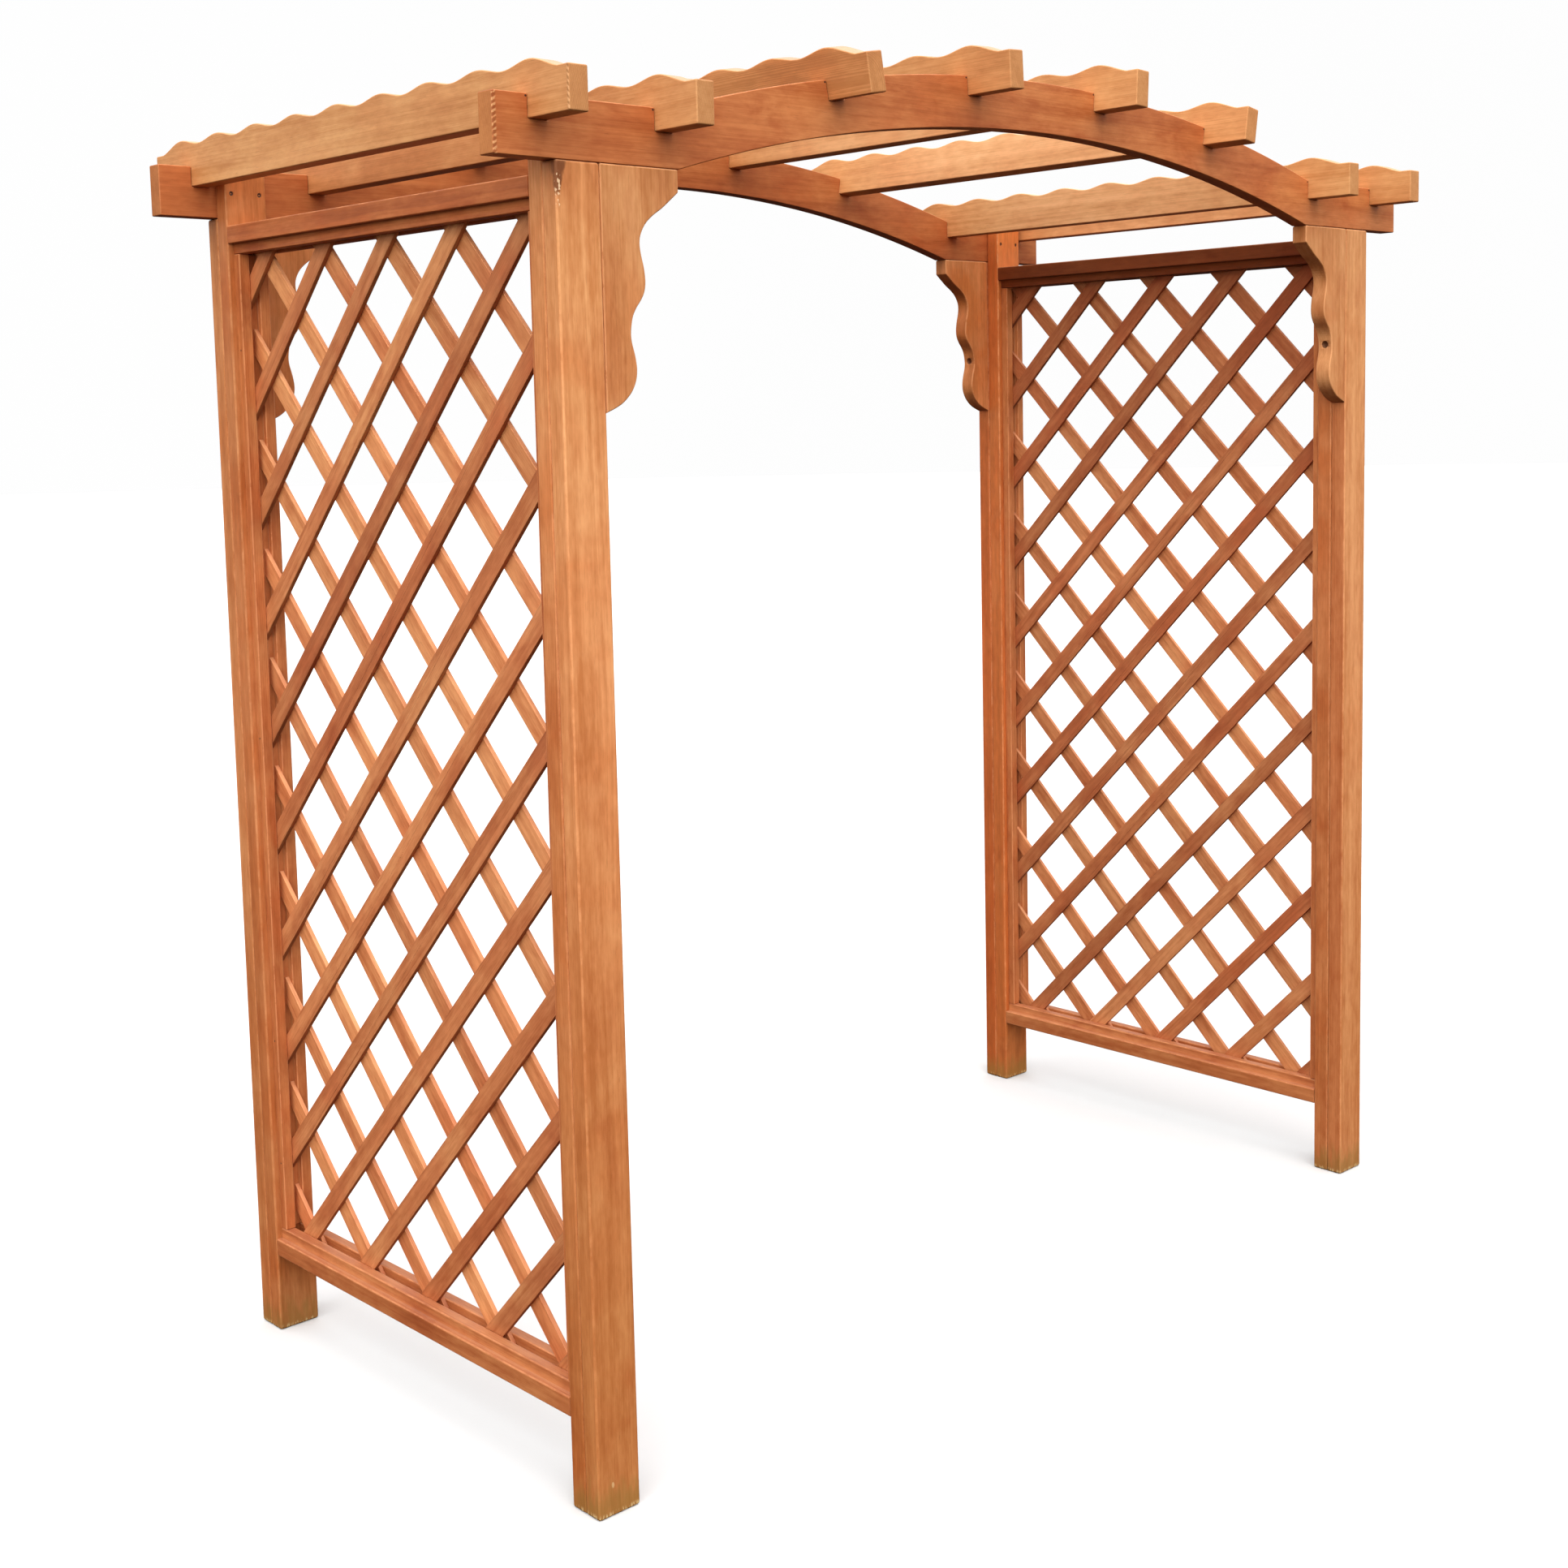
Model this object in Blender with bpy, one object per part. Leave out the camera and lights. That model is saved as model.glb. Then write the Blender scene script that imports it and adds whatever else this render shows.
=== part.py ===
"""Garden arbor in stained cedar: four double-board posts, two arched headers, eight scalloped
rafters, four knee brackets and two framed lattice sides.  Metres, +Z up, front towards -Y,
origin on the ground at the middle of the footprint."""
import bpy
import bmesh
from math import asin, cos, pi, radians, sin
from mathutils import Matrix, Vector

IN = 0.0254
GAP = 0.0003                      # running gap between neighbouring pieces
BOARD = 1.5 * IN                  # planed thickness of the framing lumber

# Overall frame
POST_SPAN_X = 93.25 * IN          # over the outer faces of the posts, left to right
POST_SPAN_Y = 46.0 * IN           # over the outer faces of the posts, front to back
POST_WIDTH = 3.5 * IN
HEADER_Z = 90.25 * IN             # underside of the headers
TAIL_HEIGHT = 3.87 * IN           # header depth over the straight tails

# Headers
HEADER_OVERHANG = 4.65 * IN       # tail beyond the outer face of the post
SOFFIT_HALF_SPAN = 36.5 * IN      # where the underside leaves the straight tail
SOFFIT_RISE = 5.25 * IN
CROWN_HALF_SPAN = 37.2 * IN
CROWN_RISE = 5.23 * IN
ARCH_STEPS = 28
NOTCH_SIDE_GAP = 0.0004
NOTCH_ARCH = 1.5 * IN             # depth of the notch in the arched part
NOTCH_TAIL = 1.55 * IN            # depth of the notch in the tails

# Rafters
RAFTER_OVERHANG = 4.26 * IN       # beyond the outer face of the posts, front and back
RAFTER_LEVEL_X = (37.7 * IN, 47.8 * IN)
RAFTER_ARCH_X = (7.4 * IN, 21.9 * IN)
SCALLOP_PITCH = 5.8 * IN
SCALLOP_COUNT = 9
SCALLOP_MEAN = 3.45 * IN          # mean height above the rafter's underside
SCALLOP_SWING = 0.21 * IN
RAFTER_END_HEIGHT = 2.85 * IN
SCALLOP_STEPS = 8

# Knee brackets: distance out from the post face against drop below the header
BRACKET_EDGE = (
    (6.5, 0.0), (6.5, 1.5), (5.75, 2.1), (5.05, 2.64), (4.3, 3.12), (3.65, 3.7), (3.25, 4.39),
    (3.15, 5.0), (3.25, 5.7), (3.45, 6.5), (3.55, 7.36), (3.45, 8.04), (3.15, 8.6),
    (2.75, 9.11), (2.45, 9.63), (2.3, 10.2), (2.23, 10.8), (2.28, 11.35), (2.45, 11.95),
    (2.58, 12.5), (2.65, 13.15), (2.55, 13.83), (2.25, 14.46), (1.85, 14.93), (1.35, 15.34),
    (0.75, 15.65), (0.0, 15.95),
)

# Lattice frames: one grooved moulding makes all four sides
SILL_Z = 6.4 * IN                 # underside of the bottom rail
TOP_RAIL_DROP = 0.7 * IN          # top rail below the header underside
MOULD_BASE = 1.4 * IN
MOULD_LIP = 0.8 * IN
LIP_MARGIN = 0.5 * IN             # step from the base edge to the lip
STILE_WEB = 0.2 * IN
GROOVE = 0.75 * IN

# Lattice
LATH_WIDTH = 1.52 * IN
LATH_PITCH = 8.71 * IN            # measured straight up the panel
LATH_WELD = 0.0002                # overlap of the two layers where they cross
LATH_COUNT = 14
# Where the lowest slat starts: z + y of the layer that rises to the front, z - y of the other
LATH_START = {"left": (-9.28 * IN, -8.8 * IN), "right": (-9.54 * IN, -9.76 * IN)}

# Screws
SCREW_HEAD_RADIUS = 0.0042
SCREW_HEAD_DEPTH = 0.0030
SCREW_SHANK_RADIUS = 0.0022
SCREW_STEPS = 12
SCREW_SINK = 0.0015               # head below the wood surface
HEADER_SCREW_LENGTH = 2.5 * IN
HEADER_SCREW_RISE = 1.8 * IN      # above the header underside
HEADER_SCREW_SPREAD = 1.2 * IN    # either side of the post centre line
BRACKET_SCREW_DROP = 10.6 * IN    # below the header underside
BRACKET_SCREW_LENGTH = 3.0 * IN
COUNTERBORE_RADIUS = 0.19 * IN
COUNTERBORE_DEPTH = 0.6 * IN

POST_OUT_X = POST_SPAN_X / 2
POST_IN_X = POST_OUT_X - POST_WIDTH
POST_OUT_Y = POST_SPAN_Y / 2
SEAM_Y = POST_OUT_Y - BOARD
POST_IN_Y = POST_OUT_Y - 2 * BOARD
POST_MID_X = (POST_OUT_X + POST_IN_X) / 2
CROWN_RADIUS = (CROWN_HALF_SPAN ** 2 + CROWN_RISE ** 2) / (2 * CROWN_RISE)
CROWN_CENTRE_Z = HEADER_Z + TAIL_HEIGHT + CROWN_RISE - CROWN_RADIUS
TOP_RAIL_Z = HEADER_Z - TOP_RAIL_DROP
STILE_BOTTOM = SILL_Z + MOULD_BASE + MOULD_LIP
STILE_TOP = TOP_RAIL_Z - MOULD_BASE - MOULD_LIP

SIDES = (("left", -1), ("right", 1))
FACES = (("front", -1), ("back", 1))


def clear_scene():
    for ob in list(bpy.data.objects):
        bpy.data.objects.remove(ob, do_unlink=True)


def material(name, colour, roughness, metallic=0.0):
    mat = bpy.data.materials.new(name)
    mat.use_nodes = True
    shader = mat.node_tree.nodes["Principled BSDF"]
    shader.inputs["Base Color"].default_value = (*colour, 1.0)
    shader.inputs["Roughness"].default_value = roughness
    shader.inputs["Metallic"].default_value = metallic
    mat.diffuse_color = (*colour, 1.0)
    return mat


def add_object(name, bm, mat):
    bmesh.ops.recalc_face_normals(bm, faces=bm.faces)
    mesh = bpy.data.meshes.new(name)
    bm.to_mesh(mesh)
    bm.free()
    if mat:
        mesh.materials.append(mat)
    ob = bpy.data.objects.new(name, mesh)
    bpy.context.scene.collection.objects.link(ob)
    return ob


def prism_bmesh(outline, depth):
    """Outline in local X, Z, extruded along local Y, centred on Y = 0."""
    bm = bmesh.new()
    face = bm.faces.new([bm.verts.new((x, -depth / 2, z)) for x, z in outline])
    grown = bmesh.ops.extrude_face_region(bm, geom=[face])
    verts = [v for v in grown["geom"] if isinstance(v, bmesh.types.BMVert)]
    bmesh.ops.translate(bm, verts=verts, vec=(0, depth, 0))
    return bm


def box_bmesh(low, high):
    bm = bmesh.new()
    bmesh.ops.create_cube(bm, size=1.0)
    size = Vector(high) - Vector(low)
    bmesh.ops.scale(bm, vec=size, verts=bm.verts)
    bmesh.ops.translate(bm, vec=Vector(low) + size / 2, verts=bm.verts)
    return bm


def ease(ob, width, segments=1):
    """Round or chamfer the outside arrises and leave the inside corners square."""
    bm = bmesh.new()
    bm.from_mesh(ob.data)
    weight = bm.edges.layers.float.new("bevel_weight_edge")
    for edge in bm.edges:
        if edge.is_convex and edge.calc_face_angle() > radians(50):
            edge[weight] = 1.0
    bm.to_mesh(ob.data)
    bm.free()
    mod = ob.modifiers.new("Eased arris", "BEVEL")
    mod.width = width
    mod.segments = segments
    mod.limit_method = "WEIGHT"


def boolean(ob, cutter, operation="DIFFERENCE"):
    cutter.hide_render = True
    cutter.display_type = "WIRE"
    mod = ob.modifiers.new(operation.title(), "BOOLEAN")
    mod.operation = operation
    mod.solver = "EXACT"
    mod.object = cutter


def smooth_by_angle(ob, angle=35):
    ob.data.shade_smooth()
    ob.data.set_sharp_from_angle(angle=radians(angle))


def mirrored(outline):
    return [(-x, z) for x, z in reversed(outline)]


# ---------------------------------------------------------------- screws
def screw_bmesh(length, extra, counterbore=0.0):
    """Countersunk screw pointing along +Z, head top at the origin; extra widens it to a hole."""
    head = SCREW_HEAD_RADIUS + extra
    shank = SCREW_SHANK_RADIUS + extra
    top = 0.0
    if extra:
        top = -(SCREW_SINK + counterbore + 0.01)
    neck = SCREW_HEAD_DEPTH + extra
    tip = length + extra
    profile = [(0.0, top), (head, top), (head, 0.0008), (shank, neck), (shank, tip - 0.006),
               (0.0, tip)]
    if counterbore:
        profile[1:2] = [(COUNTERBORE_RADIUS, top), (COUNTERBORE_RADIUS, -extra), (head, -extra)]
    if not extra:
        profile[1:2] = [(head, 0.0)]
    bm = bmesh.new()
    verts = [bm.verts.new((r, 0, z)) for r, z in profile]
    edges = [bm.edges.new(pair) for pair in zip(verts, verts[1:])]
    bmesh.ops.spin(bm, geom=verts + edges, cent=(0, 0, 0), axis=(0, 0, 1), dvec=(0, 0, 0),
                   angle=2 * pi, steps=SCREW_STEPS, use_merge=True, use_duplicate=False)
    bmesh.ops.remove_doubles(bm, verts=bm.verts, dist=0.00001)
    return bm


def drive_screw(name, length, place, rotation, hosts, mat, counterbore=0.0):
    """A screw plus the clearance hole it needs in each piece it passes through."""
    screw = add_object(name, screw_bmesh(length, 0.0), mat)
    hole = add_object(name + "_hole", screw_bmesh(length, GAP, counterbore), None)
    for ob in (screw, hole):
        ob.location = place
        ob.rotation_euler = rotation
    smooth_by_angle(screw)
    for host in hosts:
        boolean(host, hole)


# ---------------------------------------------------------------- pieces
def build_post(side, sx, face, sy, mat):
    """Outer board carries the header; the inner board runs up behind it."""
    x0 = min(sx * POST_IN_X, sx * POST_OUT_X)
    x1 = x0 + POST_WIDTH
    boards = []
    layers = (("outer", SEAM_Y + GAP, POST_OUT_Y, HEADER_Z - GAP),
              ("inner", POST_IN_Y, SEAM_Y, HEADER_Z + TAIL_HEIGHT))
    for label, y_near, y_far, top in layers:
        y0, y1 = sorted((sy * y_near, sy * y_far))
        ob = add_object(f"post_{face}_{side}_{label}_board",
                        box_bmesh((x0, y0, 0.0), (x1, y1, top)), mat)
        ease(ob, 0.004, 2)
        boards.append(ob)
    return boards


def header_outline():
    tail = POST_OUT_X + HEADER_OVERHANG
    top = HEADER_Z + TAIL_HEIGHT
    soffit_radius = (SOFFIT_HALF_SPAN ** 2 + SOFFIT_RISE ** 2) / (2 * SOFFIT_RISE)
    soffit_centre = HEADER_Z + SOFFIT_RISE - soffit_radius
    points = [(-tail, HEADER_Z)]
    swing = asin(SOFFIT_HALF_SPAN / soffit_radius)
    for i in range(ARCH_STEPS + 1):
        a = -swing + 2 * swing * i / ARCH_STEPS
        points.append((soffit_radius * sin(a), soffit_centre + soffit_radius * cos(a)))
    points += [(tail, HEADER_Z), (tail, top)]
    swing = asin(CROWN_HALF_SPAN / CROWN_RADIUS)
    for i in range(ARCH_STEPS + 1):
        a = swing - 2 * swing * i / ARCH_STEPS
        points.append((CROWN_RADIUS * sin(a), CROWN_CENTRE_Z + CROWN_RADIUS * cos(a)))
    points.append((-tail, top))
    return points


def rafter_seats():
    """Name, centre of the seat and lean of each rafter, left to right."""
    seats = []
    for x in RAFTER_LEVEL_X:
        for s in (-1, 1):
            seats.append((s * x, HEADER_Z + TAIL_HEIGHT - NOTCH_TAIL, 0.0))
    seat_radius = CROWN_RADIUS - NOTCH_ARCH
    for x in RAFTER_ARCH_X:
        for s in (-1, 1):
            lean = asin(x / seat_radius) * s
            seats.append((seat_radius * sin(lean), CROWN_CENTRE_Z + seat_radius * cos(lean), lean))
    return sorted(seats)


def build_header(face, sy, mat):
    ob = add_object(f"header_{face}", prism_bmesh(header_outline(), BOARD - GAP), mat)
    ob.location.y = sy * (POST_OUT_Y - (BOARD - GAP) / 2)
    ease(ob, 0.002)
    half = BOARD / 2 + NOTCH_SIDE_GAP
    for i, (x, z, lean) in enumerate(rafter_seats(), 1):
        cutter = add_object(f"header_{face}_notch_{i}",
                            box_bmesh((-half, -0.05, -GAP), (half, 0.05, 0.12)), None)
        cutter.location = (x, ob.location.y, z)
        cutter.rotation_euler = (0, lean, 0)
        boolean(ob, cutter)
    return ob


def rafter_outline():
    half = POST_OUT_Y + RAFTER_OVERHANG
    crest_half = SCALLOP_COUNT * SCALLOP_PITCH / 2
    points = [(-half, 0.0), (half, 0.0), (half, RAFTER_END_HEIGHT)]
    steps = SCALLOP_COUNT * SCALLOP_STEPS
    for i in range(steps + 1):
        u = crest_half - SCALLOP_COUNT * SCALLOP_PITCH * i / steps
        height = SCALLOP_MEAN + SCALLOP_SWING * cos(2 * pi * u / SCALLOP_PITCH)
        out = (abs(u) - (crest_half - 1.2 * SCALLOP_PITCH / 2)) / (1.2 * SCALLOP_PITCH / 2)
        if out > 0:
            low = SCALLOP_MEAN - SCALLOP_SWING - RAFTER_END_HEIGHT
            height -= low * out * out
        points.append((u, height))
    points.append((-half, RAFTER_END_HEIGHT))
    return points


def build_rafter(number, seat, mat):
    x, z, lean = seat
    bm = prism_bmesh(rafter_outline(), BOARD)
    bmesh.ops.rotate(bm, verts=bm.verts, matrix=Matrix.Rotation(pi / 2, 3, "Z"))
    ob = add_object(f"rafter_{number}", bm, mat)
    ob.location = (x, 0, z)
    ob.rotation_euler = (0, lean, 0)
    ease(ob, 0.002)
    smooth_by_angle(ob)


def build_bracket(side, sx, face, sy, mat):
    edge = [(d * IN, -drop * IN - GAP) for d, drop in BRACKET_EDGE]
    outline = [(GAP, -GAP)] + edge[:-1] + [(GAP, edge[-1][1])]
    if sx > 0:
        outline = mirrored(outline)
    ob = add_object(f"bracket_{face}_{side}", prism_bmesh(outline, BOARD - GAP), mat)
    ob.location = (sx * POST_IN_X, sy * (POST_OUT_Y - (BOARD - GAP) / 2), HEADER_Z)
    ease(ob, 0.002)
    return ob


def moulding_outline():
    """Across a rail (0 at the outer face) against height above its back."""
    far = POST_WIDTH - LIP_MARGIN
    groove0 = (POST_WIDTH - GROOVE) / 2
    groove1 = groove0 + GROOVE
    top = MOULD_BASE + MOULD_LIP
    return [(0, 0), (POST_WIDTH, 0), (POST_WIDTH, MOULD_BASE), (far, MOULD_BASE), (far, top),
            (groove1, top), (groove1, MOULD_BASE), (groove0, MOULD_BASE), (groove0, top),
            (LIP_MARGIN, top), (LIP_MARGIN, MOULD_BASE), (0, MOULD_BASE)]


def stile_outline():
    """A stile is only the two lips on a thin web, nailed flat to the post."""
    far = POST_WIDTH - LIP_MARGIN
    groove0 = (POST_WIDTH - GROOVE) / 2
    groove1 = groove0 + GROOVE
    return [(LIP_MARGIN, 0), (far, 0), (far, MOULD_LIP), (groove1, MOULD_LIP),
            (groove1, STILE_WEB), (groove0, STILE_WEB), (groove0, MOULD_LIP),
            (LIP_MARGIN, MOULD_LIP)]


def build_side_frame(side, x0, mat):
    """Rails run the full width between the posts; the stiles stand between the rails."""
    rail_length = 2 * (POST_IN_Y - GAP)
    for label, z, flip in (("bottom", SILL_Z, 1), ("top", TOP_RAIL_Z, -1)):
        outline = moulding_outline()
        if flip < 0:
            outline = [(x, -h) for x, h in reversed(outline)]
        ob = add_object(f"side_{side}_{label}_rail", prism_bmesh(outline, rail_length), mat)
        ob.location = (x0, 0, z)
        ease(ob, 0.0015)
    height = STILE_TOP - STILE_BOTTOM - 2 * GAP
    for face, sy in FACES:
        bm = prism_bmesh(stile_outline(), height)
        turn = Matrix.Rotation(pi / 2, 3, "X")
        bmesh.ops.rotate(bm, verts=bm.verts, matrix=turn)
        if sy < 0:
            bmesh.ops.scale(bm, vec=(1, -1, 1), verts=bm.verts)
        ob = add_object(f"side_{side}_{face}_stile", bm, mat)
        ob.location = (x0, sy * (POST_IN_Y - GAP), (STILE_TOP + STILE_BOTTOM) / 2)
        ease(ob, 0.0015)


def lath_layer(name, direction, first, x_low, x_high, mat):
    """All the parallel slats of one layer; direction +1 rises to the front, -1 to the back."""
    bm = bmesh.new()
    middle = (STILE_TOP + STILE_BOTTOM) / 2
    for k in range(LATH_COUNT):
        level = first + k * LATH_PITCH
        slat = bmesh.ops.create_cube(bm, size=1.0)["verts"]
        size = (x_high - x_low, 3.0, LATH_WIDTH)
        bmesh.ops.scale(bm, vec=size, verts=slat)
        bmesh.ops.rotate(bm, verts=slat, matrix=Matrix.Rotation(-direction * pi / 4, 3, "X"))
        y = direction * (level - middle) / 2
        z = (level + middle) / 2
        bmesh.ops.translate(bm, verts=slat, vec=((x_low + x_high) / 2, y, z))
    return add_object(name, bm, mat)


def build_lattice(side, x0, mat):
    groove0 = x0 + (POST_WIDTH - GROOVE) / 2 + GAP
    groove1 = x0 + (POST_WIDTH + GROOVE) / 2 - GAP
    middle = (groove0 + groove1) / 2
    to_front, to_back = LATH_START[side]
    ob = lath_layer(f"lattice_{side}", 1, to_front, groove0, middle, mat)
    other = lath_layer(f"lattice_{side}_second_layer", -1, to_back,
                       middle - LATH_WELD, groove1, mat)
    boolean(ob, other, "UNION")
    half = POST_IN_Y - STILE_WEB - 2 * GAP
    low = STILE_BOTTOM - MOULD_LIP + GAP
    high = STILE_TOP + MOULD_LIP - GAP
    trim = add_object(f"lattice_{side}_trim", box_bmesh(
        (x0, -half, low), (x0 + POST_WIDTH, half, high)), None)
    boolean(ob, trim, "INTERSECT")


def main():
    clear_scene()
    rafter_wood = material("cedar_rafter", (0.58, 0.31, 0.13), 0.6)
    frame_wood = material("cedar_frame", (0.50, 0.22, 0.08), 0.55)
    lattice_wood = material("cedar_lattice", (0.46, 0.18, 0.07), 0.6)
    steel = material("screw_steel", (0.11, 0.09, 0.08), 0.5, 0.9)
    for face, sy in FACES:
        header = build_header(face, sy, frame_wood)
        for side, sx in SIDES:
            outer, inner = build_post(side, sx, face, sy, frame_wood)
            bracket = build_bracket(side, sx, face, sy, frame_wood)
            for n, step in enumerate((-1, 1), 1):
                place = (sx * POST_MID_X + step * HEADER_SCREW_SPREAD,
                         sy * (POST_IN_Y + SCREW_SINK), HEADER_Z + HEADER_SCREW_RISE)
                drive_screw(f"header_screw_{face}_{side}_{n}", HEADER_SCREW_LENGTH, place,
                            (-sy * pi / 2, 0, 0), (inner, header), steel)
            reach = 2.25 * IN - COUNTERBORE_DEPTH
            place = (sx * (POST_IN_X - reach), sy * (POST_OUT_Y - BOARD / 2),
                     HEADER_Z - BRACKET_SCREW_DROP)
            drive_screw(f"bracket_screw_{face}_{side}", BRACKET_SCREW_LENGTH, place,
                        (0, sx * pi / 2, 0), (bracket, outer), steel, COUNTERBORE_DEPTH)
    for number, seat in enumerate(rafter_seats(), 1):
        build_rafter(number, seat, rafter_wood)
    for side, sx in SIDES:
        x0 = min(sx * POST_IN_X, sx * POST_OUT_X)
        build_side_frame(side, x0, frame_wood)
        build_lattice(side, x0, lattice_wood)


main()
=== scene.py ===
"""The looks of a stained cedar garden arbor.  Every visible board is rebuilt with eased, worn
arrises, its own grain and its own stain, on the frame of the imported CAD."""
import random
from math import asin, cos, pi, radians, sin, sqrt

import bmesh
import bpy
from mathutils import Matrix, Vector


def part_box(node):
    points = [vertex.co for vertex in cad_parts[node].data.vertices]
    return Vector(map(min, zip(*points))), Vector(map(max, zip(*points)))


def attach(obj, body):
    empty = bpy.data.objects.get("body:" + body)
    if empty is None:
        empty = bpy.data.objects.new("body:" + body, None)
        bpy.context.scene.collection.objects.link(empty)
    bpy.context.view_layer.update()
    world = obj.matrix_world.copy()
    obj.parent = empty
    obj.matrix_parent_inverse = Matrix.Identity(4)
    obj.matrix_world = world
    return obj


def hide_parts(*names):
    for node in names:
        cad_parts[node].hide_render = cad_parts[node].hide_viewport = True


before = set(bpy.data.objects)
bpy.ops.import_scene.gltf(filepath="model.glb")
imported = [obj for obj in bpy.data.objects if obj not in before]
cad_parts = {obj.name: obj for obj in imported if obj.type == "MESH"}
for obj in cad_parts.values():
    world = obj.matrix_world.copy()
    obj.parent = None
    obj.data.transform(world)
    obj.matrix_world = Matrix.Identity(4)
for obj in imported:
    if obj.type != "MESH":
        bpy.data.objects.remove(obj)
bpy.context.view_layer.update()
rng = random.Random(11)

IN = 0.0254
BOARD = 1.5 * IN
POST_WIDTH = 3.5 * IN
# The play left between neighbouring pieces
GAP = 0.0003
# How far the arrises of each kind of board are eased
EASED = {"post": 0.0042, "header": 0.0022, "rafter": 0.0026, "bracket": 0.003, "rail": 0.0036,
         "stile": 0.0024, "lath": 0.0011, "offcut": 0.0014}
FACES = (("front", -1), ("back", 1))
SIDES = (("left", -1), ("right", 1))
UP = Vector((0, 0, 1))
RIGHT = Vector((1, 0, 0))
BACK = Vector((0, 1, 0))

# Where the bark pocket opens on the front-left post, on its outer corner under the header
BARK_POCKET = (-46.45 * IN, -23.0 * IN, 90.2 * IN)
# A fresh pale chip near the foot of the same post
FOOT_CHIP = (-45.4 * IN, -23.0 * IN, 2.2 * IN)

# Colours of the marks on the wood
KNOT_DARK = (0.075, 0.022, 0.008)
KNOT_LIGHT = (0.17, 0.05, 0.016)
# Painted highlight on what faces the sky
TOP_HIGHLIGHT = (0.93, 0.62, 0.46)
TORN = (0.82, 0.47, 0.23)
BARK = (0.155, 0.042, 0.013)
FLAKE = (0.86, 0.56, 0.34)
FRESH = (0.93, 0.62, 0.38)
# Painted shade in the wall of a counterbore
BORE_SHADE = (0.12, 0.032, 0.010)
DAMP = (0.24, 0.135, 0.03)
FRAYED = (0.66, 0.47, 0.22)
# Tints: of the stain in blotches; painted shade underneath and on a board's sides; deeper near
# the ground
BLOTCH_TINT = (0.76, 0.58, 0.50)
UNDERSIDE_SHADE = (0.48, 0.36, 0.28)
SIDE_SHADE = (0.80, 0.55, 0.45)
LOW_TINT = (0.68, 0.59, 0.45)
NO_TINT = (1.0, 1.0, 1.0)
# Heights where the tint near the ground fades out, and where the one near the top comes in
LOW_HEIGHTS = (0.1, 1.5)
HIGH_HEIGHTS = (1.4, 2.15)
# Knots: how the cells that hold them are squeezed, and what share of the cells stays empty
KNOT_CELL = (1.7, 9.0, 9.0)
KNOT_FREE = 0.93
# Growth rings per metre from the pith
RING_DENSITY = 260.0
# How dark a ring is, from its early wood to its late wood
RING_DARK = ((0.0, 0.1), (0.4, 0.14), (0.78, 0.6), (0.9, 1.0), (1.0, 0.1))
# How densely the saw's arcs and the torn stitches lie
SAW_ACROSS, SAW_UP = 1700.0, 500.0
STITCH_ACROSS, STITCH_UP = 660.0, 420.0
# The relief of the grain, in metres
RELIEF = 0.0007


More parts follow.
